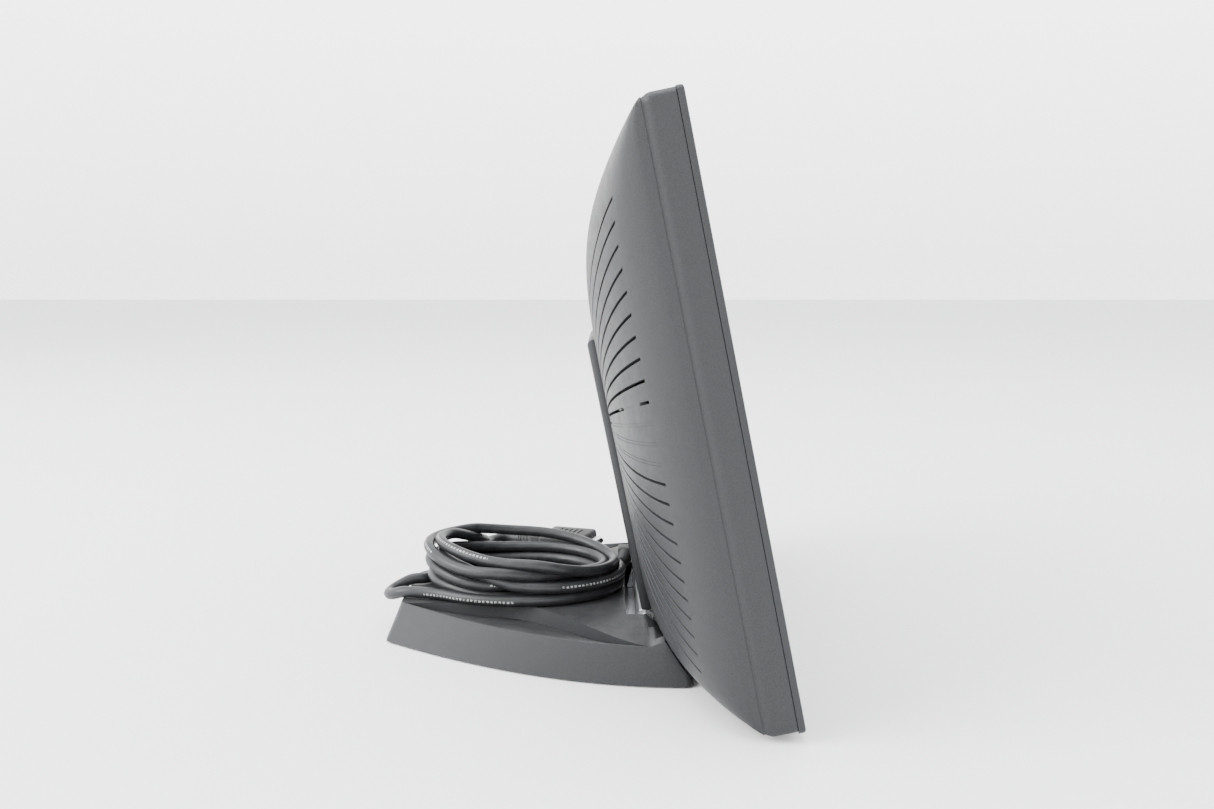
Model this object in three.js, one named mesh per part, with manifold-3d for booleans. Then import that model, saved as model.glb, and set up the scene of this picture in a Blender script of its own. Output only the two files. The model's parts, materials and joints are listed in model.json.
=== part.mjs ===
// A 15-inch desktop flat-panel monitor on a low tilting stand, with its video cable coiled on the base.
// Millimetres. X is the viewer's right, Y runs from the screen to the back and Z is up.
import * as THREE from "three";
import { mergeVertices } from "three/addons/utils/BufferGeometryUtils.js";
import Module from "manifold-3d";

const wasm = await Module();
wasm.setup();

// ---- Clearances ----
const clearance = 0.3; // between pieces that rest on or face each other
const holePlay = 0.4; // radial, round a screw's shank

// ---- Head: x across, y back from the front face, z up from the bottom edge ----
const headWidth = 354;
const headHeight = 293;
const headCorner = 3.5;
const headLean = THREE.MathUtils.degToRad(11.5);
const headAboveTable = 5;
const bezelDepth = 3.4;
const coverWall = 2.4;
const sideDepth = 16; // back edge of the straight side wall
const sideDraft = 0.6;
const creaseDepth = 18; // where the domed back starts
const creaseInset = 1.4;
const domeDepth = 62.6;
const domeCrown = 124; // height at which the dome is fullest

// ---- Screen stack ----
const windowWidth = 306;
const windowHeight = 230;
const windowBottom = 37;
const glassMargin = 6;
const glassThickness = 2.8;
const gasketThickness = 1;
const lcdMargin = 10;
const lcdSheet = 1;
const cellThickness = 1.6;
const backlightThickness = 5.9;
const bracketSheet = 1.2;
const bracketFlange = 14;
const bracketHeight = 184;

// ---- Chassis and boards ----
const chassisSheet = 1.2;
const chassisWidth = 300;
const chassisHeight = 210;
const boardThickness = 1.6;
const boardStandoff = 7.2;
const standoffRadius = 2.5;
const postRadius = 5;
const postSpacing = 75;
const postCentreHeight = 130;
const coverScrewSpacing = 30;

// ---- Vents: a fan of slots on each side of the back ----
const ventCount = 24;
const ventWidth = 1.5;
const ventOuterX = 158.5;
const ventTop = 255;
const ventBottom = 29;
const ventGrowth = 0.0175; // how much the spacing widens towards the top
const ventInnerX = 100;
const ventBlind = [10, 11, 12]; // shallow grooves, counted from the top
const ventGroove = 0.6;

// ---- Neck ----
const neckWidth = 104;
const neckTop = 187;
const neckFoot = 31.5;
const neckWall = 1.6;
const neckBack = 66.2;
const neckRounding = 5;
const recessFloor = 59.6;
const recessMargin = 1.5;
const armThickness = 2;
const armSideRoom = 6.4; // between the arm's edge and the inside of the neck cover
const armWidth = neckWidth - 2 * (neckWall + armSideRoom);

// ---- Tilt hinge, in the stand's frame ----
const hingeY = 69;
const hingeZ = 16;
const shaftRadius = 3;
const knuckleRadius = 5.2;
const washerThickness = 1.9;
const hingeSheet = 2.5;
const nutThickness = 3;
const nutRadius = 5.2;

// ---- Base ----
const baseHeight = 21.5;
const baseFrontHalf = 110.5;
const baseRearHalf = 40;
const baseFrontY = 46;
const baseRearY = 219;
const baseSkirtGap = 0.8;
const baseRearDraft = 8;
const baseSideDraft = 1;
const noseHeight = 3.5;
const noseEndY = 69;
const scoopDepth = 9;
const plateauHalf = 34;
const plateZ = 3.6;
const plateThickness = 3;
const bottomZ = 1.6;
const bottomThickness = 1.6;
const footHeight = 1.3;
const footRadius = 7;

// ---- Buttons ----
const buttonLength = 8.4;
const buttonDepth = 4.4;
const buttonPitch = 17;
const buttonFirstZ = 60;
const buttonY = 9.5;
const buttonFlange = 1.2;

// ---- Cable ----
const cableRadius = 3.3;
const coilCentre = new THREE.Vector2(1, 142);
const coilOuter = 60.5; // half its length along Y
const coilInner = 36;
const coilSquash = 0.76; // its width across X, as a share of its length
const coilHeight = 27;
const coilBevel = 9;
const plugAngle = THREE.MathUtils.degToRad(-18);
const plugReach = 76.7; // from the coil's middle to the plug's middle, across
const plugBehind = 19.95; // and along
const plugLength = 42;
const plugWidth = 31;
const plugThickness = 15;
const plugScrewSpacing = 25;
const bootLength = 9;
const bootWall = 1.6;
const shoulderLength = 10;
const shoulderInset = 7;
const screwTunnel = 2.8;
const shellHalfWidth = 8.4;
const shellHalfHeight = 4.1;
const shellSheet = 0.8;
const shellReach = 6;
const jackScrewRadius = 1.4;
const thumbRadius = 2.4;
const thumbStart = 26; // from the plug's front face to the grip
const screwReach = 5; // what stands out in front of the plug, and the room behind the grip

// ---- Materials ----
const material = (color, roughness, metalness = 0) =>
  new THREE.MeshStandardMaterial({ color, roughness, metalness });
const casing = material(0x2c2e30, 0.62);
const darkCasing = material(0x202224, 0.6);
const glass = material(0x0c0d0f, 0.12);
const foam = material(0x151515, 0.95);
const steel = material(0x9a9c9e, 0.38, 1);
const zinc = material(0xb7b9ba, 0.35, 1);
const board = material(0x1f4a2d, 0.55);
const diffuser = material(0xd9dbd8, 0.6);
const rubber = material(0x121212, 0.9);
const jacket = material(0x17181a, 0.5);
const lensPlastic = material(0x3f7a4c, 0.25);

// ---- Geometry helpers ----
const AXIS_X = new THREE.Vector3(1, 0, 0);
const AXIS_Y = new THREE.Vector3(0, 1, 0);
const AXIS_Z = new THREE.Vector3(0, 0, 1);
const facingFront = new THREE.Matrix4().makeBasis(AXIS_X, AXIS_Z, AXIS_Y.clone().negate());
const facingSide = new THREE.Matrix4().makeBasis(AXIS_Y, AXIS_Z, AXIS_X);

function solid(geometry) {
  const bare = geometry.clone();
  bare.deleteAttribute("normal");
  bare.deleteAttribute("uv");
  const merged = mergeVertices(bare, 1e-4);
  const vertProperties = new Float32Array(merged.attributes.position.array);
  const triVerts = new Uint32Array(merged.index.array);
  return new wasm.Manifold(new wasm.Mesh({ numProp: 3, vertProperties, triVerts }));
}

function geometryOf(body) {
  const { vertProperties, triVerts } = body.getMesh();
  const geometry = new THREE.BufferGeometry();
  geometry.setAttribute("position", new THREE.BufferAttribute(vertProperties, 3));
  geometry.setIndex(new THREE.BufferAttribute(triVerts, 1));
  return geometry;
}

const join = (bodies) => bodies.reduce((sum, body) => sum.add(body));
const cut = (body, tools) => tools.reduce((rest, tool) => rest.subtract(tool), body);

function box(x0, x1, y0, y1, z0, z1) {
  const geometry = new THREE.BoxGeometry(x1 - x0, y1 - y0, z1 - z0);
  return solid(geometry.translate((x0 + x1) / 2, (y0 + y1) / 2, (z0 + z1) / 2));
}

// A cylinder from start to start + length along an axis.
function rod(radius, start, length, axis, sides = 20) {
  const turn = new THREE.Quaternion().setFromUnitVectors(AXIS_Y, axis);
  const geometry = new THREE.CylinderGeometry(radius, radius, length, sides);
  geometry.translate(0, length / 2, 0);
  return solid(geometry.applyQuaternion(turn).translate(...start));
}

// A lathed solid whose profile is given as [radius, distance along the axis].
function lathe(points, start, axis, segments = 20) {
  const turn = new THREE.Quaternion().setFromUnitVectors(AXIS_Y, axis);
  const profile = points.map(([radius, along]) => new THREE.Vector2(radius, along));
  const geometry = new THREE.LatheGeometry(profile, segments);
  return solid(geometry.applyQuaternion(turn).translate(...start));
}

function roundedRectangle(width, height, radius, centreX = 0, centreY = 0) {
  const left = centreX - width / 2;
  const right = centreX + width / 2;
  const low = centreY - height / 2;
  const high = centreY + height / 2;
  const shape = new THREE.Shape();
  shape.absarc(right - radius, low + radius, radius, -Math.PI / 2, 0);
  shape.absarc(right - radius, high - radius, radius, 0, Math.PI / 2);
  shape.absarc(left + radius, high - radius, radius, Math.PI / 2, Math.PI);
  shape.absarc(left + radius, low + radius, radius, Math.PI, Math.PI * 1.5);
  shape.closePath();
  return shape;
}

const extrude = (shape, depth, curveSegments = 3) =>
  new THREE.ExtrudeGeometry(shape, { depth, bevelEnabled: false, curveSegments });

// An outline in X and Z, from y0 to y1.
const slab = (shape, y0, y1) =>
  solid(extrude(shape, y1 - y0).applyMatrix4(facingFront).translate(0, y1, 0));

// An outline in Y and Z, from x0 to x1.
const section = (shape, x0, x1) =>
  solid(extrude(shape, x1 - x0).applyMatrix4(facingSide).translate(x0, 0, 0));

const polygon = (points) => new THREE.Shape(points.map(([x, y]) => new THREE.Vector2(x, y)));

// A closed skin over rings with equal numbers of points; its two ends are convex caps.
function ringSolid(rings) {
  const count = rings[0].length;
  const positions = rings.flat().flatMap((point) => [point.x, point.y, point.z]);
  const faces = [];
  for (let ring = 0; ring < rings.length - 1; ring++) {
    for (let i = 0; i < count; i++) {
      const here = ring * count + i;
      const next = ring * count + ((i + 1) % count);
      faces.push(here, next, next + count, here, next + count, here + count);
    }
  }
  const last = (rings.length - 1) * count;
  for (let i = 1; i < count - 1; i++) {
    faces.push(0, i + 1, i);
    faces.push(last, last + i, last + i + 1);
  }
  const geometry = new THREE.BufferGeometry();
  geometry.setAttribute("position", new THREE.Float32BufferAttribute(positions, 3));
  geometry.setIndex(faces);
  return solid(geometry);
}

// A round tube along a smooth curve through the given points.
function tube(points, steps) {
  const path = new THREE.CatmullRomCurve3(points.map((point) => new THREE.Vector3(...point)));
  const circle = new THREE.Shape().absarc(0, 0, cableRadius, 0, Math.PI * 2);
  const settings = { steps, curveSegments: 10, bevelEnabled: false, extrudePath: path };
  return solid(new THREE.ExtrudeGeometry(circle, settings));
}

function add(parent, name, body, look) {
  const mesh = new THREE.Mesh(geometryOf(body), look);
  mesh.name = name;
  parent.add(mesh);
}

const sides = [
  ["left", -1],
  ["right", 1],
];

// ---- Head ----
const head = new THREE.Group();
head.position.set(0, 0, headAboveTable);
head.rotation.x = -headLean;

const windowCentre = windowBottom + windowHeight / 2;
const glassFront = bezelDepth + clearance;
const gasketFront = glassFront + glassThickness + clearance;
const lcdFront = gasketFront + gasketThickness + clearance;
const cellFront = lcdFront + lcdSheet + clearance;
const backlightFront = cellFront + cellThickness + clearance;
const lcdBack = backlightFront + backlightThickness + clearance;
const bracketFront = lcdBack + clearance;
const chassisFront = bracketFront + bracketSheet + clearance;
const chassisBack = chassisFront + chassisSheet;
const boardFront = chassisBack + boardStandoff + clearance;
const lcdWidth = windowWidth + 2 * lcdMargin;
const lcdHeight = windowHeight + 2 * lcdMargin;

const neckPosts = [-1, 1].flatMap((sideX) =>
  [-1, 1].map((sideZ) => [(sideX * postSpacing) / 2, postCentreHeight + (sideZ * postSpacing) / 2]),
);
const coverPosts = [-1, 1].map((sideZ) => [0, postCentreHeight + (sideZ * coverScrewSpacing) / 2]);
const postBack = recessFloor - coverWall - clearance;

const ledX = headWidth / 2 - 27;
const ledZ = windowBottom / 2;
const ledWidth = 4.4;
const ledHeight = 1.8;

function frontBezel() {
  const outline = roundedRectangle(headWidth, headHeight, headCorner, 0, headHeight / 2);
  outline.holes.push(roundedRectangle(windowWidth, windowHeight, 2, 0, windowCentre));
  const halfWidth = ledWidth / 2 + clearance;
  const halfHeight = ledHeight / 2 + clearance;
  const ledHole = [ledX - halfWidth, ledX + halfWidth, -1, bezelDepth + 1, ledZ - halfHeight, ledZ + halfHeight];
  return cut(slab(outline, 0, bezelDepth), [box(...ledHole)]);
}

function flatFrame(width, height, border, y0, y1) {
  const outline = roundedRectangle(width, height, 2, 0, windowCentre);
  outline.holes.push(roundedRectangle(width - 2 * border, height - 2 * border, 1, 0, windowCentre));
  return slab(outline, y0, y1);
}

function screenStack() {
  const glassWidth = windowWidth + 2 * glassMargin;
  const glassHeight = windowHeight + 2 * glassMargin;
  const cellWidth = lcdWidth - 2 * (lcdSheet + clearance);
  const cellHeight = lcdHeight - 2 * (lcdSheet + clearance);
  const gasketBack = gasketFront + gasketThickness;
  const lens = box(
    ledX - ledWidth / 2, ledX + ledWidth / 2, clearance, bezelDepth, ledZ - ledHeight / 2, ledZ + ledHeight / 2,
  );
  const glassPane = roundedRectangle(glassWidth, glassHeight, 2, 0, windowCentre);
  const panel = roundedRectangle(cellWidth, cellHeight, 1, 0, windowCentre);
  const lcdLip = flatFrame(lcdWidth, lcdHeight, lcdMargin - 1, lcdFront, lcdFront + lcdSheet);
  const lcdSkirt = flatFrame(lcdWidth, lcdHeight, lcdSheet, lcdFront, lcdBack);
  add(head, "led_lens", lens, lensPlastic);
  add(head, "touch_glass", slab(glassPane, glassFront, glassFront + glassThickness), glass);
  add(head, "glass_gasket", flatFrame(glassWidth, glassHeight, glassMargin - 1, gasketFront, gasketBack), foam);
  add(head, "lcd_frame", join([lcdLip, lcdSkirt]), steel);
  add(head, "lcd_cell", slab(panel, cellFront, cellFront + cellThickness), glass);
  add(head, "backlight_unit", slab(panel, backlightFront, backlightFront + backlightThickness), diffuser);
}

// An angle beside and behind the screen module.
function lcdBracket(side) {
  const innerX = lcdWidth / 2 + clearance;
  const web = [innerX, innerX + bracketSheet];
  const flange = [innerX + bracketSheet - bracketFlange, innerX + bracketSheet];
  const span = [windowCentre - bracketHeight / 2, windowCentre + bracketHeight / 2];
  const flip = (pair) => pair.map((x) => side * x).sort((a, b) => a - b);
  return join([
    box(...flip(web), lcdFront, bracketFront + bracketSheet, ...span),
    box(...flip(flange), bracketFront, bracketFront + bracketSheet, ...span),
  ]);
}

const mainBoard = { left: -150, right: -48, bottom: 60, top: 180 };
const powerBoard = { left: 48, right: 150, bottom: 16, top: 150 };
const touchBoard = { left: -32, right: 32, bottom: 186, top: 232 };

const boardPosts = ({ left, right, bottom, top }) =>
  [left + 6, right - 6].flatMap((x) => [Math.max(bottom + 6, 52), top - 6].map((z) => [x, z]));

function chassisPlate() {
  const outline = roundedRectangle(chassisWidth, chassisHeight, 4, 0, windowCentre);
  const small = [mainBoard, powerBoard, touchBoard]
    .flatMap(boardPosts)
    .map(([x, z]) => rod(standoffRadius, [x, chassisFront + 0.2, z], chassisSheet + boardStandoff - 0.2, AXIS_Y, 8));
  const tall = [...neckPosts, ...coverPosts].map(([x, z]) =>
    rod(postRadius, [x, chassisFront + 0.2, z], postBack - chassisFront - 0.2, AXIS_Y, 12),
  );
  const bores = [
    ...neckPosts.map(([x, z]) => rod(2 + holePlay, [x, postBack - 9, z], 20, AXIS_Y, 12)),
    ...coverPosts.map(([x, z]) => rod(1.5 + holePlay, [x, postBack - 9, z], 20, AXIS_Y, 12)),
  ];
  return cut(join([slab(outline, chassisFront, chassisBack), ...small, ...tall]), bores);
}

// A circuit board; each block on it is [x0, x1, height, z0, z1].
function circuitBoard({ left, right, bottom, top }, blocks) {
  const back = boardFront + boardThickness;
  const parts = blocks.map(([x0, x1, height, z0, z1]) => box(x0, x1, back - 0.2, back + height, z0, z1));
  return join([box(left, right, boardFront, back, bottom, top), ...parts]);
}

const jackX = 92;
const jackWidth = 9;
const jackLength = 13.5;
const jackBottom = 12.5;
const jackFront = boardFront + boardThickness + clearance;

function dcJack() {
  const middle = jackFront + 5.5;
  const body = box(
    jackX - jackWidth / 2, jackX + jackWidth / 2, jackFront, jackFront + 11, jackBottom, jackBottom + jackLength,
  );
  const bore = rod(3.1, [jackX, middle, jackBottom - 1], 10.5, AXIS_Z, 16);
  const pin = rod(1, [jackX, middle, jackBottom + 1], 9, AXIS_Z, 8);
  return body.subtract(bore).add(pin);
}

// Depth of the dome's outer surface at a point of the back, for a dome of the given half-width and height.
function domeSurface(x, z) {
  const half = headWidth / 2 - creaseInset;
  const across = Math.sqrt(Math.max(1 - Math.abs(x / half) ** 3, 0));
  const above = Math.max((z - domeCrown) / (headHeight - creaseInset - domeCrown), 0);
  const below = Math.max((domeCrown - z) / (domeCrown - creaseInset), 0);
  const upright = Math.max(1 - above ** 4.8, 0) * Math.max(1 - below ** 12, 0) ** 2;
  if (across * upright < 1e-6) return creaseDepth;
  const blend = (across ** -1.3 + upright ** -1.3 - 1) ** (-1 / 1.3);
  return creaseDepth + (domeDepth - creaseDepth) * blend;
}

// A solid between a flat front plane and the dome, made smaller all round by an inset.
function domeSolid(front, inset, cells) {
  const halfWidth = headWidth / 2 - creaseInset;
  const middle = headHeight / 2;
  const halfHeight = middle - creaseInset;
  const places = Array.from({ length: cells + 1 }, (_, i) => -Math.cos((Math.PI * i) / cells));
  const positions = [];
  for (const flat of [true, false]) {
    for (const v of places) {
      for (const u of places) {
        const depth = domeSurface(u * halfWidth, middle + v * halfHeight) - inset;
        positions.push(u * (halfWidth - inset), flat ? front : depth, middle + v * (halfHeight - inset));
      }
    }
  }
  const row = cells + 1;
  const layerSize = row * row;
  const faces = [];
  for (let j = 0; j < cells; j++) {
    for (let i = 0; i < cells; i++) {
      const a = j * row + i;
      const [b, c, d] = [a + 1, a + row + 1, a + row];
      faces.push(a, b, c, a, c, d);
      const [e, f, g, h] = [a, b, c, d].map((index) => index + layerSize);
      faces.push(e, g, f, e, h, g);
    }
  }
  const edge = [];
  for (let i = 0; i < cells; i++) edge.push(i);
  for (let j = 0; j < cells; j++) edge.push(j * row + cells);
  for (let i = cells; i > 0; i--) edge.push(cells * row + i);
  for (let j = cells; j > 0; j--) edge.push(j * row);
  edge.forEach((a, i) => {
    const b = edge[(i + 1) % edge.length];
    faces.push(a, b + layerSize, b, a, a + layerSize, b + layerSize);
  });
  const geometry = new THREE.BufferGeometry();
  geometry.setAttribute("position", new THREE.Float32BufferAttribute(positions, 3));
  geometry.setIndex(faces);
  return solid(geometry);
}

// Height of a vent's outer end; the spacing widens towards the top.
function ventOuterZ(index) {
  const fromBottom = (ventCount - 1 - index) / (ventCount - 1);
  const bend = (fromBottom + ventGrowth * 4 * fromBottom ** 3) / (1 + ventGrowth * 4);
  return ventBottom + (ventTop - ventBottom) * bend;
}

// How far a vent drops for each millimetre towards the middle; the lowest ones rise instead.
const ventSlope = (z) => THREE.MathUtils.clamp((z - 135) / 165, -0.56, 0.56);

function ventCutters(side) {
  return Array.from({ length: ventCount }, (_, index) => {
    const outerZ = ventOuterZ(index);
    const run = ventOuterX - ventInnerX;
    const drop = ventSlope(outerZ) * run;
    const middle = [side * (ventOuterX + ventInnerX) * 0.5, outerZ - drop / 2];
    const slot = new THREE.BoxGeometry(Math.hypot(run, drop), domeDepth, ventWidth);
    slot.rotateY(-side * Math.atan2(drop, run));
    const blind = ventBlind.includes(index);
    const depth = domeSurface(...middle) - (blind ? ventGroove : coverWall + 8);
    return solid(slot.translate(middle[0], depth + domeDepth / 2, middle[1]));
  });
}

const buttonNames = ["menu_button", "down_button", "up_button", "select_button", "power_button"];
const buttonZ = (index) => buttonFirstZ + index * buttonPitch;
const sideWallX = headWidth / 2 - sideDraft;

function rearCover() {
  const grid = 16;
  const front = bezelDepth + clearance;
  const footprint = roundedRectangle(headWidth, headHeight, headCorner, 0, headHeight / 2);
  const wall = slab(
    roundedRectangle(headWidth - sideDraft, headHeight - sideDraft, headCorner, 0, headHeight / 2), front, sideDepth,
  );
  const dome = domeSolid(sideDepth - 2, 0, grid).intersect(slab(footprint, 0, domeDepth + 10));
  const innerFootprint = roundedRectangle(
    headWidth - 2 * coverWall - sideDraft, headHeight - 2 * coverWall - sideDraft,
    headCorner - coverWall, 0, headHeight / 2,
  );
  const innerFront = slab(innerFootprint, 0, sideDepth - coverWall);
  const innerBack = domeSolid(sideDepth - coverWall - 1, coverWall, grid);
  const recessHalf = neckWidth / 2 + recessMargin;
  const recess = box(-recessHalf, recessHalf, recessFloor, domeDepth + 10, -10, neckTop + recessMargin);
  const recessRoom = box(
    -recessHalf - coverWall, recessHalf + coverWall, recessFloor - coverWall, domeDepth + 10,
    -10, neckTop + recessMargin + coverWall,
  );
  const hollow = innerFront.add(innerBack).subtract(recessRoom);
  const buttonHoles = buttonNames.map((_, index) => {
    const halfDepth = buttonDepth / 2 + clearance;
    const halfLength = buttonLength / 2 + clearance;
    return box(
      headWidth / 2 - 12, headWidth / 2 + 2, buttonY - halfDepth, buttonY + halfDepth,
      buttonZ(index) - halfLength, buttonZ(index) + halfLength,
    );
  });
  const jackHole = box(
    jackX - jackWidth / 2 - 1, jackX + jackWidth / 2 + 1, jackFront - 1, jackFront + 12, -5, jackBottom + 8,
  );
  const screwHoles = [
    ...neckPosts.map(([x, z]) => rod(2 + holePlay, [x, postBack - 1, z], 12, AXIS_Y, 12)),
    ...coverPosts.map(([x, z]) => rod(1.5 + holePlay, [x, postBack - 1, z], 12, AXIS_Y, 12)),
  ];
  const vents = sides.flatMap(([, side]) => ventCutters(side));
  return cut(wall.add(dome).subtract(hollow), [recess, ...buttonHoles, jackHole, ...screwHoles, ...vents]);
}

const buttonBoardX = sideWallX - coverWall - 4.8;

function button(index) {
  const halfDepth = buttonDepth / 2;
  const halfLength = buttonLength / 2;
  const z = buttonZ(index);
  const inner = sideWallX - coverWall - 2.6;
  const cap = box(inner, headWidth / 2 - 0.1, buttonY - halfDepth, buttonY + halfDepth, z - halfLength, z + halfLength);
  const flange = box(
    inner, inner + buttonFlange, buttonY - halfDepth - 1, buttonY + halfDepth + 1, z - halfLength - 1.5,
    z + halfLength + 1.5,
  );
  return cap.add(flange);
}

function headScrew(x, z, seat, radius, shank) {
  const headHeightLocal = radius * 0.9;
  const points = [
    [0, 0],
    [radius * 1.8, 0],
    [radius * 1.8, headHeightLocal],
    [radius, headHeightLocal],
    [radius, headHeightLocal + shank],
    [0, headHeightLocal + shank],
  ];
  return lathe(points, [x, seat + headHeightLocal, z], AXIS_Y.clone().negate(), 16);
}

add(head, "front_bezel", frontBezel(), casing);
screenStack();
for (const [name, side] of sides) add(head, `lcd_bracket_${name}`, lcdBracket(side), steel);
add(head, "chassis_plate", chassisPlate(), zinc);
const mainBlocks = [
  [-126, -98, 3.2, 104, 132],
  [-90, -76, 2.4, 84, 104],
  [-140, -118, 7, 150, 170],
  [-74, -56, 5, 120, 160],
  [-112, -94, 9, 66, 80],
];
const powerBlocks = [
  [60, 86, 13, 96, 128],
  [98, 118, 10, 60, 88],
  [60, 76, 12, 52, 76],
  [124, 142, 8, 100, 140],
];
add(head, "main_board", circuitBoard(mainBoard, mainBlocks), board);
add(head, "power_board", circuitBoard(powerBoard, powerBlocks), board);
add(head, "touch_board", circuitBoard(touchBoard, [[-12, 6, 2.2, 200, 218], [14, 26, 6, 196, 222]]), board);
add(head, "dc_jack", dcJack(), darkCasing);
const buttonBoard = box(
  buttonBoardX, buttonBoardX + 1.4, buttonY - 4, buttonY + 4, buttonFirstZ - 8, buttonZ(buttonNames.length - 1) + 8,
);
add(head, "button_board", buttonBoard, board);
add(head, "rear_cover", rearCover(), casing);
buttonNames.forEach((name, index) => add(head, name, button(index), darkCasing));

// ---- Neck: a steel arm with a rolled knuckle, inside a thin cover ----
const armFront = recessFloor + 2 * clearance;
const armBack = armFront + armThickness;
// The hinge line, carried into the head's own frame.
const hingeRise = hingeZ - headAboveTable;
const hingeInHead = {
  y: hingeY * Math.cos(headLean) - hingeRise * Math.sin(headLean),
  z: hingeY * Math.sin(headLean) + hingeRise * Math.cos(headLean),
};

function neckArm() {
  const half = armWidth / 2;
  const plate = box(-half, half, armFront, armBack, hingeInHead.z, neckTop - 2 * neckWall - 2);
  const knuckle = rod(knuckleRadius, [-half, hingeInHead.y, hingeInHead.z], armWidth, AXIS_X, 28);
  const bore = rod(shaftRadius + clearance, [-half - 1, hingeInHead.y, hingeInHead.z], armWidth + 2, AXIS_X, 24);
  const screwHoles = neckPosts.map(([x, z]) => rod(2 + holePlay, [x, armFront - 1, z], armThickness + 2, AXIS_Y, 12));
  const headHoles = coverPosts.map(([x, z]) => rod(4.2, [x, armFront - 1, z], armThickness + 2, AXIS_Y, 14));
  return cut(plate.add(knuckle), [bore, ...screwHoles, ...headHoles]);
}

function neckCover() {
  const front = recessFloor + clearance;
  const outline = new THREE.Shape();
  outline.moveTo(front, neckFoot);
  outline.lineTo(neckBack, neckFoot);
  outline.lineTo(neckBack, neckTop - neckRounding);
  outline.quadraticCurveTo(neckBack, neckTop, neckBack - 0.7 * neckRounding, neckTop);
  outline.lineTo(front, neckTop);
  outline.closePath();
  const outer = section(outline, -neckWidth / 2, neckWidth / 2);
  const halfInside = neckWidth / 2 - neckWall;
  const pocket = box(
    -halfInside, halfInside, front - 5, neckBack - neckWall, neckFoot - 5, neckTop - 2 * neckWall,
  );
  return outer.subtract(pocket);
}

add(head, "neck_arm", neckArm(), steel);
add(head, "neck_cover", neckCover(), casing);
neckPosts.forEach(([x, z], index) => {
  add(head, `neck_screw_${index + 1}`, headScrew(x, z, armBack + clearance, 2, 9), zinc);
});
coverPosts.forEach(([x, z], index) => {
  add(head, `cover_screw_${index + 1}`, headScrew(x, z, recessFloor + clearance, 1.5, 8), zinc);
});

// ---- Stand ----
const stand = new THREE.Group();

// The base's outline, anticlockwise from above; draft 0 is the foot of the wall and 1 its top.
function baseOutline(draft, inset, frontInset = inset) {
  const frontHalf = baseFrontHalf - baseSideDraft * draft - inset;
  const rearHalf = baseRearHalf - baseRearDraft * draft - inset * 0.7;
  const frontY = baseFrontY + frontInset;
  const rearY = baseRearY - baseRearDraft * draft - inset;
  const length = rearY - frontY;
  const cornerCut = 4;
  const flank = new THREE.CubicBezierCurve(
    new THREE.Vector2(frontHalf, frontY + cornerCut),
    new THREE.Vector2(frontHalf, frontY + length * 0.36),
    new THREE.Vector2(rearHalf + (frontHalf - rearHalf) * 0.6, frontY + length * 0.68),
    new THREE.Vector2(rearHalf, rearY),
  );
  const right = [new THREE.Vector2(frontHalf - cornerCut, frontY), ...flank.getPoints(12)];
  const left = right.map((point) => new THREE.Vector2(-point.x, point.y)).reverse();
  return [...right, ...left];
}

const ringAt = (outline, z) => outline.map((point) => new THREE.Vector3(point.x, point.y, z));
const noseSlope = (baseHeight - noseHeight) / (noseEndY - baseFrontY);

// Everything above the sloping nose, lowered by a drop.
function aboveNose(drop) {
  const far = 60;
  const low = baseFrontY - 30;
  return section(
    polygon([
      [low, noseHeight - 30 * noseSlope - drop],
      [noseEndY, baseHeight - drop],
      [noseEndY, baseHeight + far],
      [low, baseHeight + far],
    ]),
    -baseFrontHalf - 10, baseFrontHalf + 10,
  );
}

// The lens-shaped scoop between the rim and the middle of the top, grown for the hollow under it.
function scoop(side, grow) {
  const rim = baseOutline(1, 0).filter((point) => point.x > 0 && point.y > noseEndY);
  const path = new THREE.SplineCurve(rim);
  const steps = 12;
  const rings = [];
  for (let i = 0; i <= steps; i++) {
    const along = i / steps;
    const outer = path.getPoint(along);
    const bulge = Math.sin(Math.PI * along);
    const spread = 1 - THREE.MathUtils.smoothstep(along, 0, 0.62);
    const edgeX = plateauHalf * Math.min(1, outer.x / plateauHalf - 0.02) + (outer.x - plateauHalf) * spread;
    const innerX = Math.min(edgeX, outer.x - 0.8) - grow;
    const floor = baseHeight - scoopDepth * bulge ** 0.7 - 0.15 - grow;
    const outerX = outer.x - 0.6 + grow;
    rings.push([
      new THREE.Vector3(side * outerX, outer.y, baseHeight - 0.15 - grow),
      new THREE.Vector3(side * innerX, outer.y - 0.3 * grow, floor),
      new THREE.Vector3(side * innerX, outer.y - 0.3 * grow, baseHeight + 10),
      new THREE.Vector3(side * outerX, outer.y, baseHeight + 10),
    ]);
  }
  const body = ringSolid(side > 0 ? rings : rings.map((ring) => [...ring].reverse()));
  return body;
}

const baseScrews = [
  [-84, 84],
  [84, 84],
  [-22, 192],
  [22, 192],
];
const slotFrontY = 56;
const slotBackY = 80;
const slotHalf = neckWidth / 2 + 2.5;

function baseCover() {
  const outer = ringSolid([ringAt(baseOutline(0, 0), baseSkirtGap), ringAt(baseOutline(1, 0), baseHeight)]);
  const lowRing = ringAt(baseOutline(0, coverWall), baseSkirtGap - 1);
  const highRing = ringAt(baseOutline(1, coverWall), baseHeight - coverWall);
  const hollow = cut(ringSolid([lowRing, highRing]), [
    aboveNose(coverWall * 1.3),
    ...sides.map(([, side]) => scoop(side, coverWall)),
  ]);
  const shell = cut(outer, [hollow, aboveNose(0), ...sides.map(([, side]) => scoop(side, 0))]);
  const bossFoot = plateZ + plateThickness + clearance;
  const bosses = baseScrews.map(([x, y]) => rod(4, [x, y, bossFoot], baseHeight - coverWall - bossFoot + 1, AXIS_Z, 14));
  const bores = baseScrews.map(([x, y]) => rod(1.5 + holePlay, [x, y, bossFoot - 1], 7, AXIS_Z, 10));
  const neckSlot = box(-slotHalf, slotHalf, slotFrontY, slotBackY, -5, baseHeight + 20);
  return cut(join([shell, ...bosses]), [neckSlot, ...bores]);
}

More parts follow.
